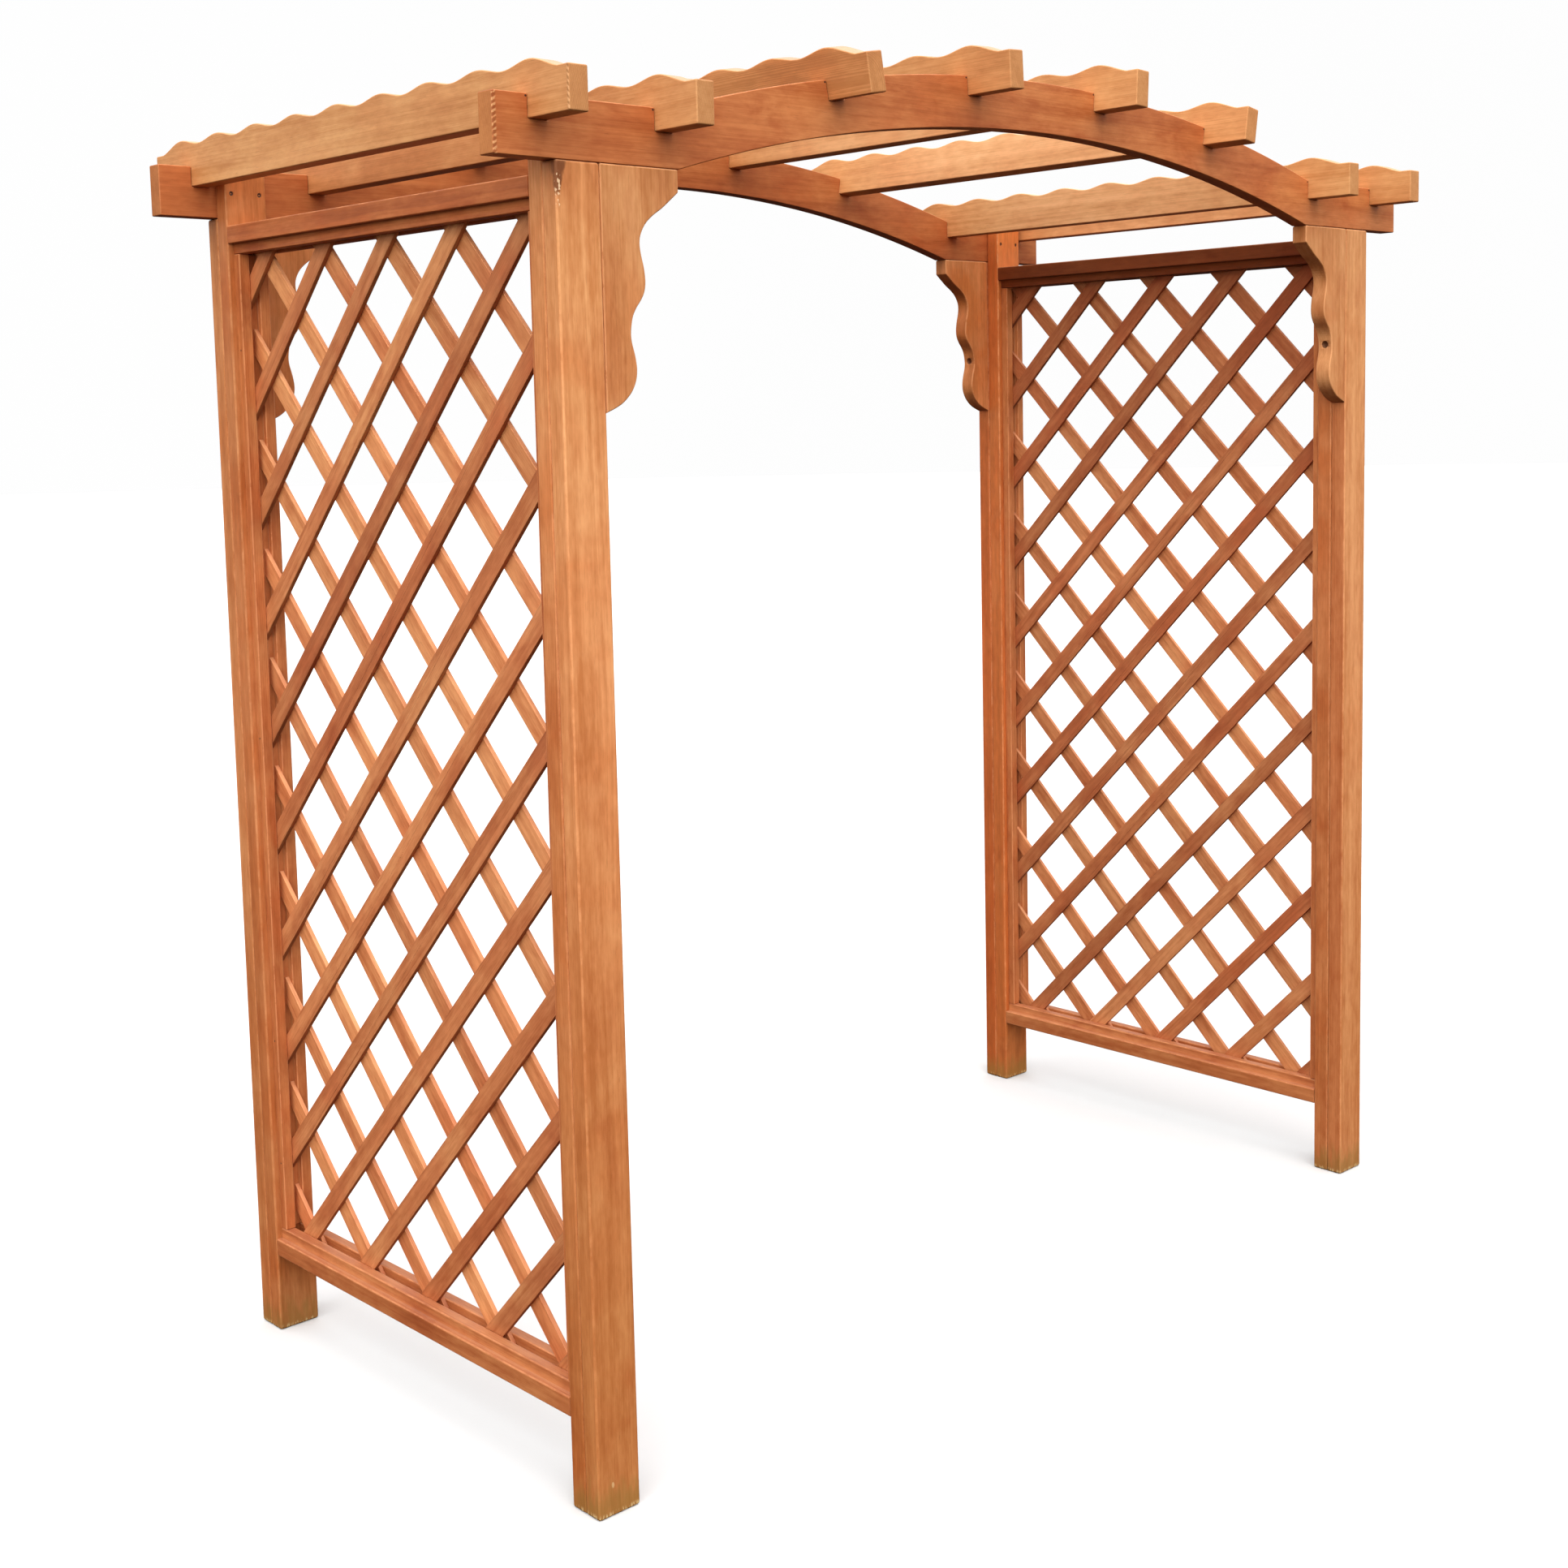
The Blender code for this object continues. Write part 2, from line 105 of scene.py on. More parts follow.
# ======================== node helpers
class Graph:
    """Short calls for building the shader nodes of a material or the world."""

    def __init__(self, owner, shader="Principled BSDF"):
        owner.use_nodes = True
        self.owner = owner
        self.tree = owner.node_tree
        self.shader = self.tree.nodes[shader]

    def set(self, name, value):
        self.put(self.shader.inputs[name], value)

    def put(self, socket, value):
        if isinstance(value, bpy.types.NodeSocket):
            self.tree.links.new(value, socket)
        elif value is not None:
            socket.default_value = value

    def node(self, kind, **settings):
        node = self.tree.nodes.new(kind)
        for key, value in settings.items():
            setattr(node, key, value)
        return node

    def attribute(self, name):
        return self.node("ShaderNodeAttribute", attribute_name=name).outputs["Vector"]

    def split(self, vector):
        node = self.node("ShaderNodeSeparateXYZ")
        self.put(node.inputs[0], vector)
        return node.outputs

    def join(self, x, y, z):
        node = self.node("ShaderNodeCombineXYZ")
        for socket, value in zip(node.inputs, (x, y, z)):
            self.put(socket, value)
        return node.outputs[0]

    def math(self, operation, a, b=None, clamp=False):
        node = self.node("ShaderNodeMath", operation=operation, use_clamp=clamp)
        for socket, value in zip(node.inputs, (a, b)):
            self.put(socket, value)
        return node.outputs[0]

    def chain(self, operation, values, clamp):
        result = values[0]
        for value in values[1:-1]:
            result = self.math(operation, result, value)
        return self.math(operation, result, values[-1], clamp)

    def add(self, *values, clamp=False):
        return self.chain("ADD", values, clamp)

    def times(self, *values, clamp=False):
        return self.chain("MULTIPLY", values, clamp)

    def minus(self, a, b, clamp=False):
        return self.math("SUBTRACT", a, b, clamp)

    def vmath(self, operation, a, b=None, scale=None):
        node = self.node("ShaderNodeVectorMath", operation=operation)
        self.put(node.inputs[0], a)
        self.put(node.inputs[1], b)
        if scale is not None:
            self.put(node.inputs["Scale"], scale)
        return node.outputs["Value" if operation == "LENGTH" else "Vector"]

    def stretch(self, vector, amounts):
        return self.vmath("MULTIPLY", vector, amounts)

    def length(self, x, y, z):
        return self.vmath("LENGTH", self.join(x, y, z))

    def noise(self, vector, scale=1.0, detail=2.0, rough=0.5, distortion=0.0, colour=False):
        node = self.node("ShaderNodeTexNoise")
        self.put(node.inputs["Vector"], vector)
        for key, number in zip(("Scale", "Detail", "Roughness", "Distortion"),
                               (scale, detail, rough, distortion)):
            node.inputs[key].default_value = number
        return node.outputs["Color" if colour else "Fac"]

    def step(self, value, low, high):
        """Smooth step: 0 below low, 1 above high."""
        node = self.node("ShaderNodeMapRange", interpolation_type="SMOOTHSTEP")
        self.put(node.inputs["Value"], value)
        self.put(node.inputs["From Min"], low)
        self.put(node.inputs["From Max"], high)
        return node.outputs["Result"]

    def fade(self, value, low, high):
        """Smooth step down: 1 below low, 0 above high."""
        return self.minus(1.0, self.step(value, low, high))

    def spread(self, value, low, high, out_low, out_high):
        node = self.node("ShaderNodeMapRange")
        self.put(node.inputs["Value"], value)
        for key, number in zip(("From Min", "From Max", "To Min", "To Max"),
                               (low, high, out_low, out_high)):
            node.inputs[key].default_value = number
        return node.outputs["Result"]

    def swing(self, noise, low, high):
        """A noise keeps mostly between 0.3 and 0.7; this spreads it from low to high."""
        return self.spread(noise, 0.3, 0.7, low, high)

    def mix(self, factor, a, b, blend="MIX"):
        node = self.node("ShaderNodeMix", data_type="RGBA", blend_type=blend)
        self.put(node.inputs["Factor"], factor)
        for socket, value in ((node.inputs[6], a), (node.inputs[7], b)):
            if isinstance(value, tuple):
                value = (*value, 1.0)
            self.put(socket, value)
        return node.outputs[2]

    def tint(self, factor, colour, tint):
        """Multiplies the colour by the tint, as far as factor says."""
        return self.mix(factor, colour, self.mix(1.0, colour, tint, "MULTIPLY"))

    def ramp(self, value, stops):
        node = self.node("ShaderNodeValToRGB")
        self.put(node.inputs[0], value)
        elements = node.color_ramp.elements
        while len(elements) < len(stops):
            elements.new(0.5)
        for element, (position, colour) in zip(elements, stops):
            element.position = position
            element.color = (*colour, 1.0)
        return node.outputs["Color"]


def shade(colour, amount):
    return tuple(c * amount for c in colour)


def knot_marks(g, grain, by, bz, amount):
    """Knots are branches: thin cylinders that run straight out from the pith.  Gives the
    distance from the pith, the distance from the knot, the knot and the halo round it."""
    cell = g.stretch(grain, KNOT_CELL)
    voronoi = g.node("ShaderNodeTexVoronoi", feature="F1")
    g.put(voronoi.inputs["Vector"], cell)
    voronoi.inputs["Scale"].default_value = 1.0
    chance = g.split(voronoi.outputs["Color"])[0]
    away = g.vmath("SUBTRACT", cell, voronoi.outputs["Position"])
    ax, ay, az = g.split(g.stretch(away, tuple(1 / k for k in KNOT_CELL)))
    radius = g.length(0.0, by, bz)
    across = g.math("DIVIDE", g.minus(g.times(ay, bz), g.times(az, by)), radius)
    distance = g.length(g.times(ax, 0.75), across, 0.0)
    chosen = g.times(g.math("GREATER_THAN", chance, KNOT_FREE), amount)
    knot = g.times(g.fade(distance, 0.0025, 0.006), chosen)
    halo = g.times(g.fade(distance, 0.003, 0.03), chosen)
    return radius, distance, knot, halo


def growth_rings(g, x, radius, halo):
    """Rings round the pith, pushed out round a knot, that come and go along the board"""
    pushed = g.add(radius, g.times(halo, 0.006))
    uneven = g.noise(g.join(g.times(pushed, 45.0), 0.0, 0.0), detail=1.0)
    phase = g.add(g.times(pushed, RING_DENSITY), g.times(uneven, 3.0))
    ring = g.ramp(g.math("FRACT", phase), [(place, (dark,) * 3) for place, dark in RING_DARK])
    patchy = g.noise(g.join(g.times(x, 0.6), g.times(pushed, 70.0), 3.0), detail=1.0)
    return g.times(ring, g.swing(patchy, 0.3, 1.0))


def torn_fibres(g, grain, z, reach, end):
    """A row of slanting stitches along a cut end, and the gaps between them"""
    band = g.times(g.fade(reach, 0.0055, 0.0095), g.fade(end, 0.25, 0.8))
    ragged = g.noise(grain, scale=150.0, detail=1.0)
    slant = g.add(g.minus(g.times(z, STITCH_ACROSS), g.times(reach, STITCH_UP)),
                  g.times(ragged, 2.0))
    slant = g.add(g.math("SINE", slant), g.swing(ragged, -1.0, 0.5))
    return g.times(band, g.step(slant, 0.0, 0.6)), g.times(band, g.fade(slant, -0.8, 0.0))


def with_bark_pocket(g, colour, place, ripple):
    """A wedge of bark under the header of one post, drawn out downwards into a line of chips"""
    dx, dy, dz = g.split(g.vmath("SUBTRACT", place, BARK_POCKET))
    aside = g.length(dx, dy, 0.0)
    wedge = g.add(g.spread(dz, -2.4 * IN, 0.0, 0.08 * IN, 0.62 * IN),
                  g.swing(ripple, -0.16 * IN, 0.16 * IN))
    stain = g.times(g.step(g.minus(wedge, aside), -0.004, 0.005), g.fade(dz, -0.0012, 0.0),
                    g.step(dz, -2.9 * IN, -1.7 * IN))
    colour = g.mix(g.times(stain, 0.85), colour, BARK)
    flake = g.noise(g.stretch(place, (240.0, 240.0, 150.0)), detail=1.0)
    near = g.fade(g.minus(aside, g.swing(ripple, 0.0, 0.005)), 0.001, 0.0035)
    drop = g.times(g.step(dz, -3.0 * IN, -2.7 * IN), g.fade(dz, -0.9 * IN, -0.6 * IN))
    flake = g.times(g.step(flake, 0.52, 0.58), near, drop)
    return g.mix(g.times(flake, 0.85), colour, FLAKE)


def wood_material(name, pale, deep, red, arris_wear_and_highlight, blotch, gloss=0.5, knots=1.0,
                  sawn=(0.62, 0.290, 0.105), top_highlight=0.16, high=NO_TINT, right_middle_tint=NO_TINT):
    """Stained cedar as a solid texture.  rubbed is how bare the arrises are and how strong the
    painted highlight on the upward ones, blotch how strong the dark clouds in the stain, sawn the
    colour of the bare ends, dust how strong the painted highlight on what faces up, high its
    tint near the top, and bleached its tint in the middle of the right half."""
    g = Graph(bpy.data.materials.new(name))
    grain = g.attribute("grain")
    arris, end, reach = g.split(g.attribute("wear"))
    tone, hue, figure = g.split(g.attribute("board"))
    side, low, up = g.split(g.attribute("aspect"))
    place = g.attribute("place")
    px, py, pz = g.split(place)
    x, y, z = g.split(grain)

    # The fibres wander a little along the board.
    slow = g.noise(g.stretch(grain, (1.1, 6.0, 6.0)), detail=2.0, colour=True)
    slow = g.vmath("SCALE", g.vmath("SUBTRACT", slow, (0.5, 0.5, 0.5)), scale=0.02)
    bent = g.vmath("ADD", grain, slow)

    def drawn_out(along, across, **settings):
        return g.noise(g.stretch(bent, (along, across, across)), **settings)

    radius, knot_distance, knot, halo = knot_marks(g, grain, *g.split(bent)[1:], knots)
    ring = growth_rings(g, x, radius, halo)

    # Fibre streaks, coarse to fine, soft mottling from the planer, and short dark pores
    streak = drawn_out(1.4, 85.0, detail=3.0, rough=0.6)
    fibre = drawn_out(8.0, 520.0, detail=3.0, rough=0.7)
    mottle = drawn_out(28.0, 95.0, detail=2.0, rough=0.6)
    pore = g.step(drawn_out(45.0, 1100.0, detail=1.0), 0.66, 0.78)

    # Uneven stain: cloudy patches and long drags of the brush
    cloud = g.noise(grain, scale=6.0, detail=3.0, rough=0.55, distortion=0.4)
    drag = g.noise(g.stretch(grain, (1.5, 30.0, 30.0)), detail=2.0)
    depth = g.add(g.times(ring, figure), g.swing(streak, -0.2, 0.24), g.swing(fibre, -0.15, 0.2),
                  g.swing(mottle, -0.2, 0.24), g.swing(drag, -0.3, 0.32), 0.32, clamp=True)
    colour = g.mix(depth, pale, deep)
    redness = g.add(g.spread(cloud, 0.36, 0.66, -0.05, 0.6), hue, clamp=True)
    colour = g.mix(redness, colour, g.mix(depth, red, shade(red, 0.66)))
    smudge = g.noise(g.stretch(grain, (5.0, 16.0, 16.0)), detail=4.0, rough=0.6, distortion=0.8)
    colour = g.tint(g.times(g.step(smudge, 0.47, 0.72), blotch), colour, BLOTCH_TINT)
    colour = g.mix(g.times(pore, 0.3), colour, shade(deep, 0.35))
    colour = g.mix(g.times(halo, 0.4), colour, shade(deep, 0.55))
    knot_rings = g.math("FRACT", g.times(knot_distance, 700.0))
    colour = g.mix(knot, colour, g.mix(knot_rings, KNOT_DARK, KNOT_LIGHT))

    # Sawn ends: bare, yellower wood with fine arcs of the blade
    saw = g.math("SINE", g.add(g.times(y, SAW_ACROSS), g.times(z, SAW_UP)))
    bare = g.minus(0.5, g.times(hue, 0.6), clamp=True)
    end_colour = g.mix(g.spread(saw, -1.0, 1.0, 0.0, 0.2), g.mix(bare, colour, sawn),
                       shade(deep, 0.6))
    colour = g.mix(end, colour, end_colour)

    # Painted highlight on what faces the sky; painted shade underneath.
    colour = g.mix(g.times(g.step(up, 0.5, 0.95), top_highlight), colour, TOP_HIGHLIGHT)
    colour = g.tint(g.times(g.fade(up, -0.8, -0.15), 0.75), colour, UNDERSIDE_SHADE)
    # Painted shade, darker and redder, on the sides that look along the arbor's width
    colour = g.tint(side, colour, SIDE_SHADE)

    # Arrises: stain worn thin where they are proud, in broken lengths, not underneath; on the
    # upward ones a painted highlight pales them further
    scuff = g.noise(grain, scale=26.0, detail=4.0, rough=0.7)
    rub = g.times(arris, g.spread(scuff, 0.42, 0.64, 0.08, 1.0), clamp=True)
    rub = g.times(rub, g.step(up, -0.75, 0.0))
    most = g.spread(g.step(up, 0.1, 0.7), 0.0, 1.0, arris_wear_and_highlight, min(1.0, arris_wear_and_highlight * 2.2))
    colour = g.mix(g.times(rub, most), colour, tuple(min(1.0, c * 1.2 + 0.05) for c in pale))

    # Torn fibres along a few cut ends
    torn, gap = torn_fibres(g, grain, z, reach, end)
    colour = g.mix(g.times(gap, 0.5), colour, shade(deep, 0.45))
    colour = g.mix(g.times(torn, 0.6), colour, TORN)

    # Two marks on the front-left post
    ripple = g.noise(g.stretch(place, (90.0, 90.0, 45.0)), detail=3.0)
    colour = with_bark_pocket(g, colour, place, ripple)
    fresh = g.vmath("LENGTH", g.stretch(g.vmath("SUBTRACT", place, FOOT_CHIP),
                                        (330.0, 330.0, 170.0)))
    fresh = g.add(fresh, g.swing(ripple, -0.3, 0.3))
    colour = g.mix(g.fade(fresh, 0.7, 1.1), colour, FRESH)

    # The wall of a counterbore gets painted shade, almost black.
    colour = g.mix(g.times(g.fade(arris, -0.9, -0.5), 0.8), colour, BORE_SHADE)

    # The lower a board stands, the deeper its colour; its foot is damp, green and frayed.
    colour = g.tint(g.times(g.fade(pz, *LOW_HEIGHTS), low), colour, LOW_TINT)
    colour = g.tint(g.step(pz, *HIGH_HEIGHTS), colour, high)
    # A tint towards the middle of the right half
    right_middle_mask = g.times(g.fade(g.math("ABSOLUTE", py), 0.2, 0.56), g.step(px, -0.2, 0.4))
    colour = g.tint(right_middle_mask, colour, right_middle_tint)
    ragged = g.noise(g.stretch(place, (90.0, 90.0, 22.0)), detail=3.0)
    height = g.minus(pz, g.swing(ragged, 0.0, 0.04))
    colour = g.mix(g.times(g.fade(height, -0.01, 0.05), 0.58), colour, DAMP)
    frayed = g.noise(g.stretch(place, (330.0, 330.0, 60.0)), detail=1.0)
    chip = g.times(g.step(frayed, 0.52, 0.60), g.fade(pz, 0.003, 0.012))
    colour = g.mix(g.times(chip, 0.85), colour, FRAYED)

    colour = g.mix(1.0, colour, g.join(tone, tone, tone), "MULTIPLY")
    g.set("Base Color", colour)

    g.set("Specular IOR Level", 0.22)
    rough = g.add(g.swing(fibre, gloss - 0.05, gloss + 0.09), g.times(end, 0.22),
                  g.times(ring, -0.06), g.times(rub, 0.12), clamp=True)
    g.set("Roughness", rough)

    relief = g.add(g.times(fibre, 0.55), g.times(ring, 0.4), g.times(streak, 0.8),
                   g.times(saw, end, 0.4))
    relief = g.add(g.minus(relief, g.times(pore, 0.5)), g.times(g.add(torn, chip), 0.8))
    bump = g.node("ShaderNodeBump")
    bump.inputs["Strength"].default_value = 0.3
    bump.inputs["Distance"].default_value = RELIEF
    g.put(bump.inputs["Height"], relief)
    g.set("Normal", bump.outputs[0])
    return g.owner


def steel_material(name):
    """Dark coated steel with worn, faintly rusty spots."""
    g = Graph(bpy.data.materials.new(name))
    spots = g.noise(g.attribute("place"), scale=900.0, detail=3.0)
    colour = g.mix(g.step(spots, 0.45, 0.7), (0.055, 0.045, 0.04), (0.16, 0.08, 0.045))
    g.set("Base Color", colour)
    g.set("Metallic", 0.85)
    g.set("Roughness", g.swing(spots, 0.35, 0.65))
    return g.owner


# ======================== mesh helpers
def bend(start, corner, stop, steps=3):
    """Points along the curve that turns a corner from start to stop."""
    return [(1 - t) ** 2 * start + 2 * t * (1 - t) * corner + t * t * stop
            for t in (k / steps for k in range(steps + 1))]


def rounded(points, radius):
    """The outline with each sharp corner turned into a small arc."""
    out = []
    n = len(points)
    for i, point in enumerate(points):
        p = Vector(point)
        a = Vector(points[i - 1]) - p
        b = Vector(points[(i + 1) % n]) - p
        angle = a.angle(b)
        cut = radius / max(0.05, sin(angle / 2)) * cos(angle / 2)
        if angle > radians(150) or min(a.length, b.length) < 2.2 * cut:
            out.append(p)
        else:
            out += bend(p + a.normalized() * cut, p, p + b.normalized() * cut)
    return out


def inset(points, amount):
    """The outline moved inwards by amount; the outline runs anticlockwise."""
    if amount == 0:
        return list(points)
    out = []
    n = len(points)
    for i, p in enumerate(points):
        before = (p - points[i - 1]).normalized()
        after = (points[(i + 1) % n] - p).normalized()
        left0 = Vector((-before.y, before.x))
        left1 = Vector((-after.y, after.x))
        middle = left0 + left1
        if middle.length < 1e-6:
            middle = left0
        middle.normalize()
        out.append(p + middle * (amount / max(0.4, middle.dot(left1))))
    return out


def anticlockwise(points):
    points = [Vector(p) for p in points]
    area = sum(a.x * b.y - b.x * a.y for a, b in zip(points, points[1:] + points[:1]))
    return points if area > 0 else points[::-1]


def skin(bm, rings):
    """Joins rings of vertices, all of one length, into a closed solid."""
    n = len(rings[0])
    for low, high in zip(rings, rings[1:]):
        for i in range(n):
            j = (i + 1) % n
            bm.faces.new((low[i], low[j], high[j], high[i]))
    bm.faces.new(rings[0][::-1])
    bm.faces.new(rings[-1])
    bmesh.ops.recalc_face_normals(bm, faces=bm.faces)
    return bm


def slab(outline, thickness, radius, steps=3):
    """Outline in local X, Z (X along the grain) and thickness in Y, with eased arrises.
    The layer "arris" holds 1 on the middle of the rounding and 0 on the flat faces."""
    bm = bmesh.new()
    arris = bm.verts.layers.float.new("arris")
    points = rounded(anticlockwise(outline), radius * 1.3)
    rings = []
    half = thickness / 2
    arc = [pi / 2 * k / steps for k in range(steps, -1, -1)]
    for side, a in [(-1, a) for a in arc] + [(1, a) for a in arc[::-1]]:
        ring = []
        for p in inset(points, radius * (1 - cos(a))):
            v = bm.verts.new((p.x, side * (half - radius + radius * sin(a)), p.y))
            v[arris] = sin(2 * a)
            ring.append(v)
        rings.append(ring)
    return skin(bm, rings)


# How far a moulding's ends are eased, and how bare its long and its end arrises are
END_EASED = 0.0012
LONG_WEAR = (0.0, 0.9, 0.9, 0.0)
END_WEAR = 0.6


def profile_bar(outline, length, radius):
    """A moulding: the outline in local Y, Z swept along X, its sharp outer corners eased."""
    bm = bmesh.new()
    arris = bm.verts.layers.float.new("arris")
    points = anticlockwise(outline)
    shape, worn = [], []
    for i, p in enumerate(points):
        a = points[i - 1] - p
        b = points[(i + 1) % len(points)] - p
        if a.x * b.y - a.y * b.x < 0:
            shape += bend(p + a.normalized() * radius, p, p + b.normalized() * radius)
            worn += LONG_WEAR
        else:
            shape.append(p)
            worn.append(0.0)
    rings = []
    for x, draw in ((0.0, END_EASED), (END_EASED, 0.0), (length - END_EASED, 0.0),
                    (length, END_EASED)):
        ring = []
        for q, mask in zip(inset(shape, draw * 0.7), worn):
            v = bm.verts.new((x, q.x, q.y))
            v[arris] = max(mask, END_WEAR if draw else 0.0)
            ring.append(v)
        rings.append(ring)
    return skin(bm, rings)


def turned(profile, steps):
    """A solid of revolution round Z from (radius, height) pairs."""
    bm = bmesh.new()
    verts = [bm.verts.new((r, 0, h)) for r, h in profile]
    edges = [bm.edges.new(pair) for pair in zip(verts, verts[1:])]
    bmesh.ops.spin(bm, geom=verts + edges, cent=(0, 0, 0), axis=(0, 0, 1), dvec=(0, 0, 0),
                   angle=2 * pi, steps=steps, use_merge=True, use_duplicate=False)
    bmesh.ops.remove_doubles(bm, verts=bm.verts, dist=0.00001)
    bmesh.ops.recalc_face_normals(bm, faces=bm.faces)
    return bm


def new_object(name, data):
    """An object in the scene from a lamp, a camera or a bmesh"""
    if isinstance(data, bmesh.types.BMesh):
        mesh = bpy.data.meshes.new(name)
        data.to_mesh(mesh)
        data.free()
        data = mesh
    ob = bpy.data.objects.new(name, data)
    bpy.context.scene.collection.objects.link(ob)
    return ob


def cut_holes(bm, cutters):
    """Boolean-cuts the cutter meshes from the board while it is still in its own frame."""
    host = new_object("blank", bm)
    tools = [new_object("cutter", cutter) for cutter in cutters]
    for tool in tools:
        mod = host.modifiers.new("cut", "BOOLEAN")
        mod.operation = "DIFFERENCE"
        mod.solver = "EXACT"
        mod.object = tool
    bpy.context.view_layer.update()
    graph = bpy.context.evaluated_depsgraph_get()
    out = bmesh.new()
    out.from_mesh(bpy.data.meshes.new_from_object(host.evaluated_get(graph)))
    for ob in tools + [host]:
        bpy.data.objects.remove(ob, do_unlink=True)
    return out


def add_piece(name, bm, matrix, mat, slot, nodes, pith=(0.0, -0.09), tone=1.0, hue=0.0,
              figure=0.3, rub=1.0, torn=0.0, edge=0.0, low=0.0):
    """Turns a mesh, built in its own frame with the grain along X, into a finished piece.
    tone is its brightness, hue its redness, figure how bold its rings are, rub how bare its
    arrises are and how strong their painted highlight; torn frays its arrises at the low end of
    X, in a narrower band the larger it is; edge is how much painted shade, darker and redder,
    falls on its faces that look along the arbor's width, low how much darker it stands near the
    ground."""
    ob = new_object(name, bm)
    ob.matrix_world = matrix
    mesh = ob.data
    mesh.materials.append(mat)
    mesh.shade_smooth()
    shift = rng.uniform(1.0, 60.0)
    grain, wear, board, place, aspect = [], [], [], [], []
    turn = matrix.to_3x3()
    arris = mesh.attributes.get("arris")
    start = min(v.co.x for v in mesh.vertices)
    for polygon in mesh.polygons:
        end = abs(polygon.normal.x) ** 6
        facing = turn @ polygon.normal
        side = edge * max(0.0, min(1.0, (abs(facing.x) - 0.7) / 0.25))
        bored = arris and all(arris.data[v].value < 0 for v in polygon.vertices)
        for index in polygon.loop_indices:
            v = mesh.loops[index].vertex_index
            co = mesh.vertices[v].co
            worn = max(0.0, arris.data[v].value) if arris else 0.0
            grain += (co.x + shift, co.y - pith[0], co.z - pith[1])
            reach = (co.x - start) * torn if torn else 1.0
            wear += (-1.0 if bored else worn * rub, end, reach)
            board += (tone, hue, figure)
            place += tuple(matrix @ co)
            aspect += (side, low, facing.z)
    for label, values in (("grain", grain), ("wear", wear), ("board", board), ("place", place),
                          ("aspect", aspect)):
        layer = mesh.attributes.new(label, "FLOAT_VECTOR", "CORNER")
        layer.data.foreach_set("vector", values)
    mod = ob.modifiers.new("Flat faces stay flat", "WEIGHTED_NORMAL")
    mod.weight = 100
    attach(ob, "root")
    if nodes:
        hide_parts(*nodes)
    return ob


def add_board(node, bm, matrix, mat, *looks, slot="cedar_frame", **more):
    """The piece that stands for one CAD node"""
    add_piece(node + "_cedar", bm, matrix, mat, slot, [node], *looks, **more)


def basis(x_axis, y_axis, z_axis, origin):
    """The matrix that stands a board, built in its own frame, in its place."""
    m = Matrix((x_axis, y_axis, z_axis)).transposed().to_4x4()
    m.translation = origin
    return m


def pointing(way, place):
    """The matrix that turns local Z along way."""
    turn = Vector(way).to_track_quat("Z", "Y").to_matrix().to_4x4()
    turn.translation = place
    return turn


def random_pith(flat_sawn=True):
    """Where the heart of the log lies, seen from the middle of the board's end."""
    if flat_sawn:
        return (rng.choice((-1, 1)) * rng.uniform(0.05, 0.13), rng.uniform(-0.025, 0.025))
    return (rng.uniform(-0.02, 0.02), rng.choice((-1, 1)) * rng.uniform(0.07, 0.16))


# ======================== materials
amber = wood_material("cedar_amber", (0.815, 0.412, 0.167), (0.615, 0.256, 0.082),
                      (0.72, 0.272, 0.089), arris_wear_and_highlight=0.3, blotch=0.25, top_highlight=0.4,
                      sawn=(0.55, 0.240, 0.088), right_middle_tint=(1.18, 1.30, 1.54))
honey = wood_material("cedar_honey", (0.76, 0.342, 0.142), (0.540, 0.188, 0.059),
                      (0.64, 0.182, 0.048), arris_wear_and_highlight=0.3, blotch=0.45,
                      sawn=(0.54, 0.242, 0.086), high=(1.02, 1.08, 1.06))
russet = wood_material("cedar_russet", (0.655, 0.248, 0.090), (0.455, 0.122, 0.036),
                       (0.54, 0.138, 0.042), arris_wear_and_highlight=0.4, blotch=0.7, knots=0.0, top_highlight=0.08,
                       high=(1.0, 0.98, 0.89))
# The right laths' tint near the top is painted shade under the roof.
lath_wood = {side: wood_material(f"cedar_lath_{side}", (0.73, 0.310, 0.126),
                                 (0.485, 0.148, 0.049), (0.58, 0.150, 0.052), gloss=0.55,
                                 arris_wear_and_highlight=0.35, blotch=0.55, high=high)
             for side, high in (("left", (1.04, 1.08, 1.04)), ("right", (0.84, 0.80, 0.79)))}
steel = steel_material("coated_steel")

# ======================== posts
HEADER_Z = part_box("header_front")[0].z
SCREW_HOLE_RADIUS = 0.0046
SCREW_HOLE_DEPTH = 0.0022
# A cutter stands this far proud of the surface that it cuts.
PROUD = 0.004
screw_places = {name: (lo + hi) / 2 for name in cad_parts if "screw" in name
                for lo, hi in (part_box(name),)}
# Tone, redness, and how much painted shade, darker and redder, falls on the sides, of each post's
# outer and inner board, and how much darker the post stands near the ground
POST_LOOK = {
    "front_left": ((1.13, -0.08, 0.0), (1.1, 0.22, 0.12), 0.97),
    "front_right": ((1.02, -0.3, 0.7), (1.02, 0.25, 0.4), 0.37),
    "back_left": ((0.99, 0.2, 0.12), (0.98, 0.35, 0.3), 0.55),
    "back_right": ((1.2, 0.9, 0.55), (1.24, 0.9, 0.2), 0.6),
}


def pocket(radius, depth, place, way):
    """A round cutter for a pocket that runs along way from a place on the surface."""
    bm = bmesh.new()
    bmesh.ops.create_cone(bm, cap_ends=True, segments=20, radius1=radius, radius2=radius,
                          depth=depth + PROUD)
    turn = pointing(way, Vector(place) + Vector(way) * (depth - PROUD) / 2)
    bmesh.ops.transform(bm, matrix=turn, verts=bm.verts)
    return bm


